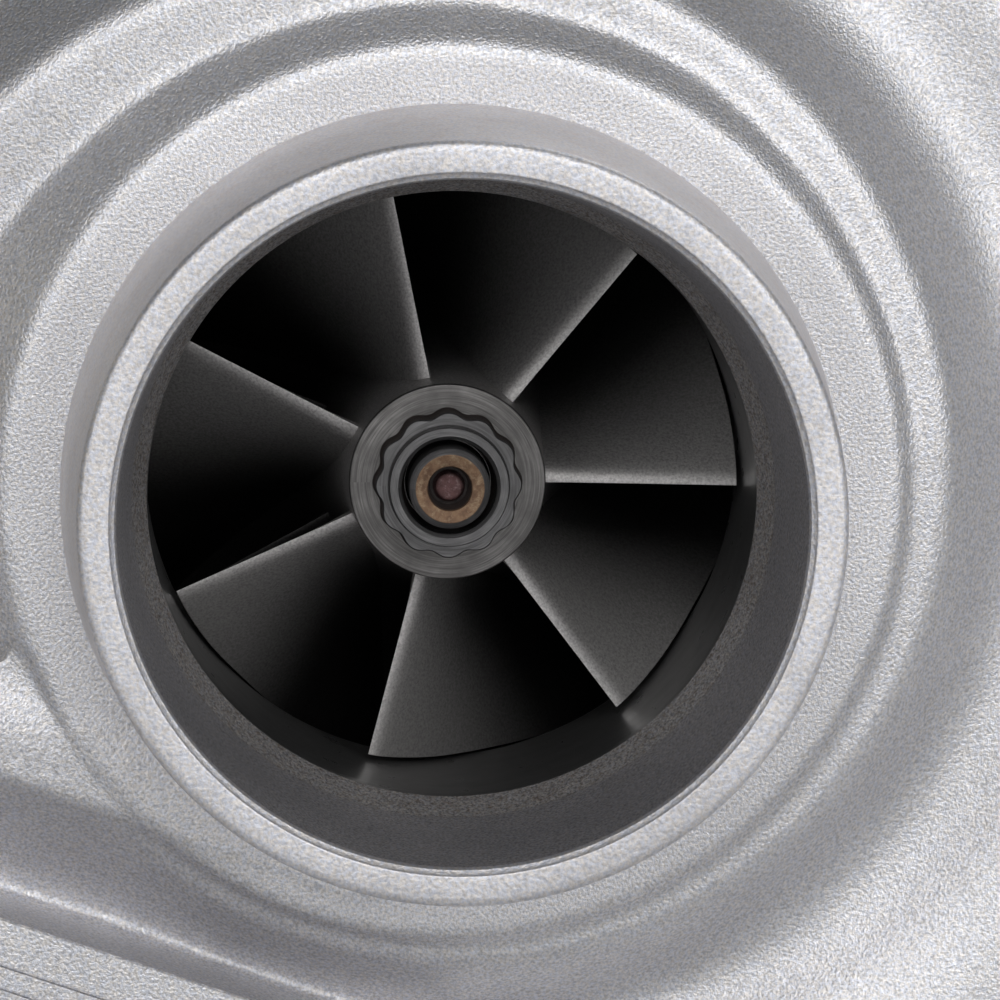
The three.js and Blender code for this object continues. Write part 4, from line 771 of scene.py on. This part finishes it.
def bolt(name, tip, seat, direction, across, height, shank, look, washer=1.0):
    """A flanged hexagon bolt: its shank reaches back from the seat to the tip."""
    head = hexagon(name + "_head", seat, direction, height, across, look, flange=washer)
    back = Vector(seat) - Vector(tip)
    pitch, length = 0.8, back.length
    turns = int(min(length * 0.7, 12) / pitch)
    profile = [(0.01, 0), (shank - 0.6, 0, 0.2), (shank, 0.6, 0.1), *thread(shank, 0.4, pitch, pitch, turns)]
    profile += [(shank, 1.2 + turns * pitch), (shank, length + 0.3), (0.01, length + 0.3)]
    return merged(name, [head, turned(name + "_shank", profile, look, tip, back, 32)])


# ---------- Actuator ----------
def on_rod(y):
    """The point of the push rod's axis at y."""
    return (ACTUATOR_AXIS[0], y, ACTUATOR_AXIS[1])


def actuator_front(look):
    """The domed shell, folded over the rear shell's rim."""
    profile = [(0.01, -67), (9, -66.8, 4), (12.5, -66.2, 2), (20.2, -63.4, 4), (22.9, -60, 3)]
    profile += [(22.9, -51.2, 0.8), (27.1, -51, 1.0), (27.1, -45.9, 0.8), (26.3, -45.9, 0.3), (26.3, -49.3)]
    profile += [(21.4, -49.3), (21.4, -59.4, 2), (19, -62, 3), (12, -64.8), (0.01, -65.4)]
    return turned("actuator_cap", profile, look, on_rod(0))


def actuator_rear(look):
    """The rear shell with its two studs."""
    profile = [(4, -17.8), (9, -17.8, 0.5), (10, -18.5, 0.5), (17, -18.5, 0.6), (18.2, -17.8, 0.6)]
    profile += [(19.5, -17.9, 1), (22.9, -21.6, 2.5), (22.9, -47.2, 0.8), (25.9, -47.2, 0.6), (25.9, -48.6)]
    profile += [(21.4, -48.6), (21.4, -22.4, 2), (18.4, -19.6), (4, -19.4)]
    pieces = [turned("actuator_can", profile, look, on_rod(0))]
    stud = [(0.01, 0), (2.5, 0), *thread(2.5, 0.3, 2.2, 0.8, 10)]
    stud += [(2.5, 10.9, 0.1), (2.1, 11.8, 0.1), (0.01, 11.8)]
    for k, (x, z) in enumerate(ACTUATOR_STUDS):
        pieces.append(turned(f"actuator_stud_{k}", stud, look, (x, -18.8, z), ALONG_Y, 32))
    return merged("actuator_can_studs", pieces)


def nipple(name, start, towards, depth, look):
    """A barbed hose nipple, screwed in so deep."""
    profile = [(1.3, 0), (3, 0), (3, depth, 0.2), (4.6, depth, 0.4), (4.6, depth + 2.2, 0.5)]
    profile += [(2.4, depth + 2.2, 0.4), (2.3, depth + 8.6, 0.3), (2.9, depth + 9.8, 0.3)]
    profile += [(2.1, depth + 11.4, 0.4), (1.3, depth + 11.4, 0.2)]
    return turned(name, profile, look, start, Vector(towards) - Vector(start), 48)


def actuator_rod(look):
    """The push rod, threaded at its rear end."""
    profile = [(0.01, -59.8), (2.6, -59.8, 0.3), (3, -59.4, 0.2), (3, 44), *thread(3, 0.4, 44.4, 0.85, 22)]
    profile += [(2.6, 63.6, 0.2), (0.01, 64)]
    return turned("actuator_push_rod", profile, look, on_rod(0), segments=48)


def rod_end(look):
    """The flat eye and the hexagonal sleeve that screws onto the rod."""
    outline = link_outline((LEVER_PIN[0], ACTUATOR_AXIS[1], 7.9), (64, ACTUATOR_AXIS[1], 4.9))
    loops = [outline, circle(LEVER_PIN[0], ACTUATOR_AXIS[1], 3.8)]
    eye = plate("rod_eye", loops, 4, look, (ACTUATOR_AXIS[0] - 2, 0, 0), ALONG_Y, ALONG_Z, 0.5)
    sleeve = hexagon("rod_sleeve", on_rod(55), ALONG_Y, 10, 9.0, look, bore=3.2)
    return merged("rod_end_eye", [eye, sleeve])


def lever(look):
    """The plate that turns the wastegate spindle."""
    outline = link_outline((*SPINDLE, 8.9), (*LEVER_PIN, 6.9))
    loops = [outline, circle(*SPINDLE, 4.25), circle(*LEVER_PIN, 3.25)]
    return plate("wastegate_lever_plate", loops, 3.5, look, (-89.35, 0, 0), ALONG_Y, ALONG_Z, 0.45)


def bracket(look):
    """The sheet that holds the actuator on the compressor housing, with its stiffening lip."""
    outline = [(-54.5, 38, 5), (-72, 44, 5), (-96, 44.5, 6), (-108, 36, 6), (-111, 22, 8), (-103, 6, 6)]
    outline += [(-92, 3, 5), (-68, -2, 5), (-60.5, -1, 6), (-59.4, 12, 6), (-55.8, 20, 6)]
    holes = [circle(*ACTUATOR_AXIS, 6.0)]
    holes += [circle(x, z, 2.8) for x, z in ACTUATOR_STUDS]
    holes += [circle(x, z, 3.3) for x, z in BRACKET_BOSSES]
    loops = [rounded(outline, 8), *holes]
    sheet = plate("bracket_sheet", loops, 3, look, (0, BRACKET_REAR, 0), ALONG_X, ALONG_Z)
    edge = rounded([(-103.5, -17.3, 0.5), (-70.5, -17.3, 0.5), (-70.5, -5.6, 4), (-103.5, -5.6, 4)], 8)
    lip = plate("bracket_lip", [edge], 3, look, (0, 0, 43.6), ALONG_X, ALONG_Y)
    return merged("actuator_bracket_sheet", [sheet, lip])


# ---------- Materials ----------
class Look:
    """Builds one procedural material on a Principled shader, with noise in the piece's own coordinates."""

    def __init__(self, name, metallic, roughness, colour):
        self.material = bpy.data.materials.new(name)
        self.material.use_nodes = True
        self.tree = self.material.node_tree
        self.shader = self.tree.nodes["Principled BSDF"]
        self.shader.inputs["Metallic"].default_value = metallic
        self.shader.inputs["Roughness"].default_value = roughness
        self.shader.inputs["Base Color"].default_value = (*colour, 1)
        self.place = self.tree.nodes.new("ShaderNodeTexCoord").outputs["Object"]
        self.normal = None

    def node(self, kind, **values):
        """A new node of that kind with its properties set."""
        made = self.tree.nodes.new(kind)
        for key, value in values.items():
            setattr(made, key, value)
        return made

    def link(self, source, target):
        """Joins two sockets."""
        self.tree.links.new(source, target)

    def noise(self, size, detail=3.0, rough=0.6, place=None):
        """Noise whose features are about `size` millimetres wide."""
        made = self.node("ShaderNodeTexNoise")
        made.inputs["Scale"].default_value = 1 / (size * MM)
        made.inputs["Detail"].default_value = detail
        made.inputs["Roughness"].default_value = rough
        self.link(place or self.place, made.inputs["Vector"])
        return made.outputs["Fac"]

    def joined(self, **sockets):
        """A vector made of the sockets given as X, Y and Z."""
        made = self.node("ShaderNodeCombineXYZ")
        for axis, socket in sockets.items():
            self.link(socket, made.inputs[axis])
        return made.outputs[0]

    def turning_marks(self, stretch=0.0002):
        """Coordinates in which noise runs in fine rings about the shaft."""
        shifted = self.node("ShaderNodeVectorMath", operation="SUBTRACT")
        self.link(self.place, shifted.inputs[0])
        shifted.inputs[1].default_value = SHAFT
        parts = self.node("ShaderNodeSeparateXYZ")
        self.link(shifted.outputs[0], parts.inputs[0])
        x, y, z = (parts.outputs[axis] for axis in "XYZ")
        radius = self.node("ShaderNodeVectorMath", operation="LENGTH")
        self.link(self.joined(X=x, Y=z), radius.inputs[0])
        angle = self.node("ShaderNodeMath", operation="ARCTAN2")
        self.link(z, angle.inputs[0])
        self.link(x, angle.inputs[1])
        slow = self.node("ShaderNodeMath", operation="MULTIPLY")
        self.link(angle.outputs[0], slow.inputs[0])
        slow.inputs[1].default_value = stretch
        return self.joined(X=radius.outputs["Value"], Y=y, Z=slow.outputs[0])

    def ramp(self, fac, stops):
        """A colour ramp from (position, grey or rgb) stops."""
        made = self.node("ShaderNodeValToRGB")
        elements = made.color_ramp.elements
        while len(elements) < len(stops):
            elements.new(0.5)
        for element, (position, colour) in zip(elements, stops):
            element.position = position
            element.color = (*colour, 1) if isinstance(colour, tuple) else (colour, colour, colour, 1)
        self.link(fac, made.inputs["Fac"])
        return made.outputs["Color"]

    def mix(self, fac, a, b, blend="MIX"):
        """A blend of two colours; each of the three can be a socket or a plain value."""
        made = self.node("ShaderNodeMix", data_type="RGBA", blend_type=blend)
        for socket, value in ((made.inputs[0], fac), (made.inputs[6], a), (made.inputs[7], b)):
            if isinstance(value, bpy.types.NodeSocket):
                self.link(value, socket)
            else:
                socket.default_value = (*value, 1) if isinstance(value, tuple) else value
        return made.outputs[2]

    def bump(self, height, depth, strength=1.0):
        """Adds a bump of that depth in millimetres."""
        made = self.node("ShaderNodeBump")
        made.inputs["Distance"].default_value = depth * MM
        made.inputs["Strength"].default_value = strength
        self.link(height, made.inputs["Height"])
        if self.normal:
            self.link(self.normal, made.inputs["Normal"])
        self.normal = made.outputs["Normal"]
        self.link(self.normal, self.shader.inputs["Normal"])

    def colour(self, socket):
        """The shader's colour follows the socket."""
        self.link(socket, self.shader.inputs["Base Color"])

    def roughness(self, fac, low, high):
        """The shader's roughness follows the socket, from low to high."""
        spread = self.node("ShaderNodeMapRange")
        spread.inputs["To Min"].default_value, spread.inputs["To Max"].default_value = low, high
        self.link(fac, spread.inputs["Value"])
        self.link(spread.outputs["Result"], self.shader.inputs["Roughness"])


def cast_look(name, light, dark, tint, metallic, rough, grain, depth, dirt=0.0, stain_size=7, contrast=0.2):
    """A blasted cast surface: pebbled grain with warm and cool speckle, soft waves, pits and stains."""
    look = Look(name, metallic, rough, light)
    fine, patch = look.noise(grain, 2, 0.6), look.noise(14, 4, 0.6)
    base = look.mix(look.ramp(patch, [(0.35, 0.0), (0.7, 1.0)]), light, dark)
    speckle = look.ramp(look.noise(grain * 1.2, 2, 0.8), [(0.4, (0.9, 0.93, 1.0)), (0.6, (1.0, 0.965, 0.92))])
    base = look.mix(1.0, base, speckle, "MULTIPLY")
    pebbles = look.ramp(fine, [(0.3, 1 - 2 * contrast), (0.5, 1 - 0.8 * contrast), (0.66, 1.0)])
    base = look.mix(1.0, base, pebbles, "MULTIPLY")
    if dirt:
        stain = look.ramp(look.noise(stain_size, 5, 0.75), [(0.5, 0.0), (0.66, dirt)])
        base = look.mix(stain, base, tint)
    look.colour(base)
    look.roughness(fine, rough + 0.1, rough - 0.08)
    look.bump(look.noise(9, 3, 0.5), 0.2, 0.4)
    look.bump(fine, depth)
    return look.material


def turned_look(name, light, dark, metallic, rough, ring=0.12, depth=0.006):
    """A machined surface with lathe marks about the shaft."""
    look = Look(name, metallic, rough, light)
    marks = look.noise(ring, 2, 0.6, look.turning_marks())
    cloud = look.noise(2.5, 4, 0.6)
    base = look.mix(look.ramp(marks, [(0.3, 0.0), (0.7, 1.0)]), dark, light)
    look.colour(look.mix(look.ramp(cloud, [(0.35, 0.0), (0.7, 0.7)]), base, dark))
    look.roughness(cloud, rough - 0.06, rough + 0.1)
    look.bump(marks, depth)
    return look.material


def plain_look(name, light, dark, metallic, rough, size=1.5, depth=0.01, stain=None, amount=0.4):
    """A worked metal or moulded surface: clouds, a fine bump and some stain."""
    look = Look(name, metallic, rough, light)
    cloud = look.noise(size * 4, 4, 0.65)
    base = look.mix(look.ramp(cloud, [(0.35, 0.0), (0.7, 1.0)]), light, dark)
    if stain:
        base = look.mix(look.ramp(look.noise(size * 2.5, 5, 0.75), [(0.5, 0.0), (0.72, amount)]), base, stain)
    look.colour(base)
    look.roughness(look.noise(size * 2, 3), rough - 0.07, rough + 0.12)
    look.bump(look.noise(size * 0.3, 3, 0.6), depth)
    return look.material


def blade_look(name, light, deep, front, back):
    """Blasted wheel metal with painted shade: its colour darkens from light to deep between the y of the
    leading edges and y well inside.
    """
    look = Look(name, 0.85, 0.5, light)
    parts = look.node("ShaderNodeSeparateXYZ")
    look.link(look.place, parts.inputs[0])
    painted_shade_ramp = look.node("ShaderNodeMapRange", interpolation_type="SMOOTHSTEP")
    painted_shade_ramp.inputs["From Min"].default_value = SHAFT.y + front * MM
    painted_shade_ramp.inputs["From Max"].default_value = SHAFT.y + back * MM
    look.link(parts.outputs["Y"], painted_shade_ramp.inputs["Value"])
    # Painted shade: the colour goes darker the further the surface lies into the inlet.
    base = look.mix(painted_shade_ramp.outputs["Result"], light, deep)
    grain = look.noise(0.2, 2, 0.6)
    look.colour(look.mix(1.0, base, look.ramp(grain, [(0.3, 0.6), (0.65, 1.0)]), "MULTIPLY"))
    look.roughness(grain, 0.58, 0.46)
    look.bump(grain, 0.02)
    return look.material


LOOKS = {
    "cast": cast_look(
        "cast_aluminium", (0.853, 0.847, 0.857), (0.793, 0.787, 0.797), (0.3, 0.26, 0.2),
        metallic=1.0, rough=0.46, grain=0.25, depth=0.1,
    ),
    "taper": cast_look(
        "cast_taper", (0.68, 0.665, 0.68), (0.56, 0.55, 0.57), (0.3, 0.26, 0.2),
        metallic=0.9, rough=0.5, grain=0.22, depth=0.07, contrast=0.3,
    ),
    # The lip's colours are darkened to offset the light its face catches, which is painted shade; its brown
    # stain is dirt.
    "lip": cast_look(
        "stained_and_shaded_lip", (0.74, 0.72, 0.71), (0.6, 0.58, 0.57), (0.22, 0.15, 0.09),
        metallic=0.9, rough=0.5, grain=0.22, depth=0.08, dirt=0.6, stain_size=0.5, contrast=0.34,
    ),
    "boss": cast_look(
        "boss_side", (0.81, 0.79, 0.785), (0.735, 0.715, 0.71), (0.5, 0.36, 0.3),
        metallic=1.0, rough=0.48, grain=0.25, depth=0.025, dirt=0.2, stain_size=2.5, contrast=0.1,
    ),
    "rim": cast_look(
        "ground_aluminium", (0.87, 0.86, 0.87), (0.7, 0.69, 0.697), (0.4, 0.36, 0.3),
        metallic=1.0, rough=0.55, grain=0.32, depth=0.06, contrast=0.14,
    ),
    "iron": cast_look(
        "turbine_iron", (0.23, 0.185, 0.155), (0.13, 0.11, 0.1), (0.3, 0.16, 0.08),
        metallic=0.35, rough=0.66, grain=0.6, depth=0.1, dirt=0.8,
    ),
    "dark_iron": cast_look(
        "bearing_iron", (0.12, 0.12, 0.122), (0.08, 0.08, 0.082), (0.16, 0.1, 0.06),
        metallic=0.4, rough=0.62, grain=0.55, depth=0.09, dirt=0.5,
    ),
    "bore": turned_look("bored_aluminium", (0.32, 0.32, 0.32), (0.22, 0.22, 0.22), 0.9, 0.28, 0.1, 0.004),
    "nose": turned_look(
        "turned_aluminium", (0.22, 0.212, 0.208), (0.08, 0.077, 0.075), 0.85, 0.4, 0.12, 0.012
    ),
    "nut": turned_look("nut_steel", (0.18, 0.178, 0.18), (0.08, 0.078, 0.079), 0.85, 0.4, 0.12, 0.012),
    "steel": turned_look("turned_steel", (0.44, 0.44, 0.45), (0.3, 0.3, 0.31), 1.0, 0.34, 0.12, 0.005),
    "backplate": turned_look("turned_backplate", (0.5, 0.5, 0.51), (0.4, 0.4, 0.41), 0.85, 0.4, 0.2, 0.008),
    "brown": plain_look(
        "browned_steel", (0.2, 0.125, 0.075), (0.1, 0.055, 0.035), 0.7, 0.42,
        size=0.2, depth=0.04, stain=(0.34, 0.26, 0.17), amount=0.8,
    ),
    "red": plain_look(
        "red_brown_steel", (0.13, 0.065, 0.065), (0.06, 0.028, 0.028), 0.5, 0.4,
        size=0.16, depth=0.06, stain=(0.36, 0.29, 0.29), amount=0.7,
    ),
    # Painted shade: near black for the nut's flanks and base ring and for the wall of the shaft's hole.
    "shade": plain_look("painted_shade_black", (0.035, 0.026, 0.024), (0.02, 0.015, 0.014), 0.2, 0.6, 0.3, 0.02),
    "milled_iron": plain_look(
        "milled_iron", (0.36, 0.34, 0.32), (0.26, 0.24, 0.22), 0.85, 0.42, 2.0, 0.01, (0.3, 0.2, 0.12), 0.5
    ),
    "nickel": plain_look(
        "nickel_alloy", (0.27, 0.24, 0.21), (0.16, 0.14, 0.13), 0.85, 0.45, 1.5, 0.02, (0.25, 0.17, 0.12), 0.5
    ),
    "zinc": plain_look(
        "zinc_plate", (0.62, 0.58, 0.46), (0.5, 0.49, 0.44), 0.95, 0.33, 2.0, 0.006, (0.55, 0.48, 0.6), 0.25
    ),
    "stainless": plain_look(
        "stainless_strip", (0.55, 0.53, 0.5), (0.42, 0.4, 0.37), 1.0, 0.3, 3.0, 0.006, (0.5, 0.38, 0.24), 0.4
    ),
    "brass": plain_look(
        "machined_brass", (0.68, 0.52, 0.25), (0.5, 0.37, 0.17), 1.0, 0.3, 1.5, 0.006, (0.35, 0.24, 0.12), 0.4
    ),
    "black": plain_look("black_coat", (0.035, 0.035, 0.037), (0.02, 0.02, 0.021), 0.0, 0.45, 1.0, 0.02),
    "bronze": plain_look("bearing_bronze", (0.6, 0.42, 0.22), (0.48, 0.32, 0.16), 1.0, 0.32, 1.0, 0.004),
    "rubber": plain_look("rubber", (0.02, 0.02, 0.02), (0.012, 0.012, 0.012), 0.0, 0.7, 1.0, 0.03),
    "wire": plain_look("spring_steel", (0.28, 0.28, 0.3), (0.18, 0.18, 0.2), 1.0, 0.35, 1.0, 0.005),
    # The blades and hub carry painted shade, going from the light colour to near black with depth.
    "blade": blade_look("wheel_aluminium", (0.54, 0.525, 0.515), (0.03, 0.029, 0.029), -53.0, -38.0),
}


# ---------- Building ----------
def build_compressor():
    """The compressor housing, its wheel, nut and shaft, the backplate and the clamping."""
    casting = compressor_casting(LOOKS["cast"])
    inlet = compressor_inlet([LOOKS[name] for name in ("taper", "rim", "bore", "lip", "boss")])
    for piece in (casting, inlet, outlet_spigot(LOOKS["boss"]), pad_face(LOOKS["cast"])):
        settle(piece, "housing", "cast_aluminium", "compressor_housing")
    settle(compressor_wheel([LOOKS["blade"], LOOKS["nose"]]), "rotor", "wheel_aluminium", "compressor_wheel")
    settle(wheel_nut([LOOKS["nut"], LOOKS["shade"]]), "rotor", "machined_steel", "compressor_wheel_nut")
    shaft = rotor_shaft([LOOKS[name] for name in ("nut", "brown", "shade", "red")])
    settle(shaft, "rotor", "shaft_steel", "rotor_shaft")
    profile = [(7.6, -24), (12, -24, 0.5), (30.8, -25.8), (31, -26), (45.3, -26, 0.3), (45.3, -25)]
    profile += [(43.2, -25), (43.2, -23.1), (45.3, -23.1), (45.3, -21.7), (47.3, -21.7), (47.3, -20, 0.3)]
    disc = turned("backplate_disc", [*profile, (7.6, -20)], LOOKS["backplate"])
    settle(disc, "housing", "backplate_aluminium", "backplate")
    for k, (x, z) in enumerate(CLAMP_BOLTS, 1):
        name = f"compressor_bolt_{k}"
        made = bolt("hex_" + name, (x, -22, z), (x, CLAMP_REAR + GAP, z), ALONG_Y, *M6, LOOKS["zinc"])
        settle(made, "housing", "plated_steel", name)
    for k in range(3):
        made = clamp_plate(f"clamp_segment_{k + 1}", CLAMP_FIRST + 30 + 120 * k, LOOKS["zinc"])
        settle(made, "housing", "plated_steel", f"clamp_plate_{k + 1}")


def clamp_plate(name, middle, look):
    """A segment that holds the bearing housing in the compressor housing, under two bolts."""
    inner, outer, half = 42.6, 56.5, 41.6
    turns = np.linspace(middle - half, middle + half, 40)
    outline = [polar(outer, a) for a in turns] + [polar(inner, a) for a in turns[::-1]]
    holes = [circle(*polar(CLAMP_CIRCLE, middle + side), 3.3, 24) for side in (-30, 30)]
    return plate(name, [outline, *holes], 3, look, (0, CLAMP_REAR, 0), ALONG_X, ALONG_Z, 0.35)


def build_centre():
    """The bearing housing, its oil and water fittings and the V-band clamp."""
    settle(bearing_casting(LOOKS["dark_iron"]), "housing", "cast_iron_bearing", "bearing_housing")
    brass, seat = LOOKS["brass"], (0, PORT_Y, OIL_SEAT_Z)
    fitting = hexagon("oil_hexagon", seat, ALONG_Z, 6.7, 14, brass)
    stem = [(2, -8), (4, -8), (4, 6.5), (5, 6.5), *thread(5, 0.5, 7.4, 0.9, 8), (4.9, 15.2, 0.1), (2, 15.2)]
    stem = turned("oil_stem", stem, brass, seat, ALONG_Z, 48)
    settle(merged("oil_inlet_union", [fitting, stem]), "housing", "brass_fitting", "oil_inlet_fitting")
    plugs = [("right", (34, PORT_Y, 16.8), (43.3, PORT_Y, 21.15))]
    plugs += [("left", (-34, PORT_Y, -12.2), (-43.3, PORT_Y, -16.2))]
    for side, inner, face in plugs:
        out = Vector(face) - Vector(inner)
        head = hexagon(f"plug_head_{side}", face, out, 5.0, 15, brass, flange=1.5)
        end = out.length + 0.4
        body = [(0.01, 0), (5.9, 0, 0.4), (5.9, end), (0.01, end)]
        body = turned(f"plug_body_{side}", body, brass, inner, out, 48)
        made = merged(f"water_plug_hex_{side}", [head, body])
        settle(made, "housing", "brass_fitting", f"water_plug_{side}")
    settle(vband(LOOKS["stainless"]), "housing", "machined_steel", "vband_clamp")
    tip, seat, start = ((x, VBAND_Y, VBAND_BOLT_Z) for x in (17, -11.3, 11.3))
    made = bolt("hex_vband_bolt", tip, seat, (-1, 0, 0), 9.3, 4.2, 3, LOOKS["zinc"])
    settle(made, "housing", "plated_steel", "vband_bolt")
    made = hexagon("hex_vband_nut", start, ALONG_X, 5, 9.6, LOOKS["zinc"], bore=3.1)
    settle(made, "housing", "plated_steel", "vband_nut")


def build_turbine():
    """The turbine housing and its wheel, and the wastegate's valve, bush, lever and pin."""
    casting, nickel = turbine_casting(LOOKS["iron"]), LOOKS["nickel"]
    for piece in (casting, foot_plate(LOOKS["milled_iron"]), outlet_plate(LOOKS["milled_iron"])):
        settle(piece, "housing", "cast_iron_turbine", "turbine_housing")
    settle(turbine_wheel(nickel), "rotor", "nickel_alloy", "turbine_wheel")
    x, z = WASTEGATE_PORT
    profile = [(0.01, 0), (12.4, 0, 0.3), (12.4, 1.2, 0.8), (11, 2.9, 0.8), (3, 3.4, 0.8), (3, 16.2, 0.4)]
    profile += [(0.01, 16.7)]
    valve = turned("wastegate_poppet", profile, nickel, (x, CAVITY_FLOOR + 0.3, z), ALONG_Y, 64)
    settle(valve, "wastegate", "nickel_alloy", "wastegate_valve")
    profile = [(3.2, 0, 0.2), (6.4, 0, 0.5), (6.4, 1.8, 0.5), (3.2, 1.8, 0.2)]
    washer = turned("poppet_washer", profile, nickel, (x, 86.6, z), ALONG_Y, 48)
    settle(washer, "wastegate", "nickel_alloy", "valve_retainer")
    profile = [(4.2, 0, 0.3), (7, 0, 0.5), (7, 19.5, 0.6), (4.2, 19.5, 0.4)]
    bush = turned("spindle_bush", profile, LOOKS["wire"], (-58, *SPINDLE), (-1, 0, 0), 64)
    settle(bush, "housing", "spring_steel", "wastegate_bush")
    settle(lever(LOOKS["stainless"]), "wastegate", "machined_steel", "wastegate_lever")
    profile = [(0.01, 0), (3, 0, 0.4), (3, 11.3, 0.5), (0.01, 11.3)]
    pin = turned("lever_pivot_pin", profile, LOOKS["stainless"], (-85.7, *LEVER_PIN), (-1, 0, 0), 48)
    settle(pin, "wastegate", "machined_steel", "lever_pin")


def build_actuator():
    """The actuator's shells, rod and eye, its bracket and fasteners, and the two hose nipples."""
    zinc, brass, seat = LOOKS["zinc"], LOOKS["brass"], BRACKET_REAR + GAP
    settle(actuator_front(zinc), "housing", "plated_steel", "actuator_front_shell")
    settle(actuator_rear(zinc), "housing", "plated_steel", "actuator_rear_shell")
    heading = Vector((0.34, 0, -0.94)).normalized()
    start = Vector(on_rod(-57.5)) + heading * 20.5
    made = nipple("pressure_nipple", start, start + heading, 2.8, brass)
    settle(made, "housing", "brass_fitting", "actuator_nipple")
    wall = SCROLL_FAR - SCROLL_LARGE - SCROLL_WALL
    start, towards = near_outlet(58, wall + 3, OUTLET_Y), near_outlet(58, 0, OUTLET_Y)
    settle(nipple("boost_take_off", start, towards, 3.3, brass), "housing", "brass_fitting", "boost_nipple")
    settle(actuator_rod(zinc), "push_rod", "plated_steel", "actuator_rod")
    settle(rod_end(zinc), "push_rod", "plated_steel", "rod_end")
    made = hexagon("hex_locknut", on_rod(49.4), ALONG_Y, 5.3, 10, zinc, bore=3.1)
    settle(made, "push_rod", "plated_steel", "rod_locknut")
    settle(bracket(LOOKS["black"]), "housing", "black_steel", "actuator_bracket")
    for k, (x, z) in enumerate(BRACKET_BOSSES, 1):
        made = bolt(f"hex_bracket_bolt_{k}", (x, -28.8, z), (x, seat, z), ALONG_Y, *M6, zinc)
        settle(made, "housing", "plated_steel", f"bracket_bolt_{k}")
    for k, (x, z) in enumerate(ACTUATOR_STUDS, 1):
        made = hexagon(f"hex_actuator_nut_{k}", (x, seat, z), ALONG_Y, 4.2, 8.2, zinc, bore=2.6)
        settle(made, "housing", "plated_steel", f"actuator_nut_{k}")


CARRIED_OVER = {
    "backplate_o_ring": "rubber", "journal_bearing_front": "bronze", "journal_bearing_rear": "bronze",
    "bearing_spacer": "wire", "thrust_bearing": "bronze", "thrust_collar": "steel", "oil_flinger": "steel",
    "compressor_seal_ring": "wire", "turbine_seal_ring": "wire", "heat_shield": "stainless",
    "wastegate_arm": "nickel", "lever_clip": "wire", "actuator_piston": "stainless",
    "actuator_diaphragm": "rubber", "actuator_spring": "wire",
}


def dress_carried_over():
    """CAD nodes that keep their own shape get a finish, and their edges a small bevel."""
    for node, look in CARRIED_OVER.items():
        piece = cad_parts[node]
        piece.data.materials.clear()
        piece.data.materials.append(LOOKS[look])
        piece.data.shade_smooth()
        sharp = math.radians(32)
        piece.data.set_sharp_from_angle(angle=sharp)
        edge = piece.modifiers.new("edge", "BEVEL")
        edge.width, edge.segments, edge.limit_method, edge.angle_limit = 0.25 * MM, 2, "ANGLE", sharp


# ---------- Stage ----------
# Each softbox's degrees round and up as direction_at() takes them, its side in metres and its power.
SOFTBOXES = {
    "front_low": (0, -3, 0.5, 1.9),
    "front_high": (0, 35, 0.5, 4.7),
    "left": (-40, 18, 0.5, 3.0),
    "right": (40, 18, 0.5, 4.2),
    "rear": (150, 40, 0.7, 5.0),
}
LIGHT_DISTANCE, LIGHT_LOWEST, WORLD_STRENGTH = 1.25, 0.03, 0.12
CAMERA_AZIMUTH, CAMERA_ELEVATION, CAMERA_DISTANCE, CAMERA_LENS = -3.1, 7.5, 600.0, 283.0
CAMERA_AIM = (3.66, BASE_Y, -0.46)


def direction_at(azimuth, elevation):
    """The direction so many degrees round (0 is in front of the inlet, 90 to its right) and up."""
    a, e = math.radians(azimuth), math.radians(elevation)
    return Vector((math.sin(a) * math.cos(e), -math.cos(a) * math.cos(e), math.sin(e)))


def add_light(name, azimuth, elevation, size, power):
    """A square softbox aimed at the inlet from that direction."""
    target = SHAFT + Vector((0, -60 * MM, 0))
    place = target + direction_at(azimuth, elevation) * LIGHT_DISTANCE
    place.z = max(place.z, LIGHT_LOWEST)
    light = bpy.data.lights.new(name, "AREA")
    light.shape, light.size, light.energy = "SQUARE", size, power
    holder = bpy.data.objects.new(name, light)
    holder.location = place
    holder.rotation_euler = (target - place).to_track_quat("-Z", "Y").to_euler()
    bpy.context.scene.collection.objects.link(holder)


def add_stage():
    """The floor, the world's soft light and the softboxes."""
    mesh = bpy.data.meshes.new("floor")
    corners = [(-4, -4, 0), (4, -4, 0), (4, 4, 0), (-4, 4, 0)]
    mesh.from_pydata(corners, [], [(0, 1, 2, 3)])
    floor = bpy.data.objects.new("floor", mesh)
    bpy.context.scene.collection.objects.link(floor)
    look = Look("floor_paint", 0, 0.85, (0.7, 0.7, 0.7))
    look.colour(look.mix(look.noise(40, 3), (0.7, 0.7, 0.705), (0.72, 0.72, 0.72)))
    mesh.materials.append(look.material)
    world = bpy.data.worlds.new("studio")
    world.use_nodes = True
    background = world.node_tree.nodes["Background"]
    background.inputs["Color"].default_value = (0.86, 0.88, 0.92, 1)
    background.inputs["Strength"].default_value = WORLD_STRENGTH
    bpy.context.scene.world = world
    bpy.context.scene.view_settings.view_transform = "Standard"
    for name, settings in SOFTBOXES.items():
        add_light(name, *settings)


def add_camera():
    """The camera looks into the inlet from a little above and to the left."""
    back = direction_at(CAMERA_AZIMUTH, CAMERA_ELEVATION)
    data = bpy.data.cameras.new("camera")
    data.lens, data.sensor_width, data.clip_start, data.clip_end = CAMERA_LENS, 36, 0.05, 10
    camera = bpy.data.objects.new("camera", data)
    camera.location = Vector(to_frame(Vector(CAMERA_AIM) + back * CAMERA_DISTANCE)[0])
    camera.rotation_euler = (-back).to_track_quat("-Z", "Y").to_euler()
    bpy.context.scene.collection.objects.link(camera)
    bpy.context.scene.camera = camera


build_compressor()
build_centre()
build_turbine()
build_actuator()
dress_carried_over()
add_stage()
add_camera()
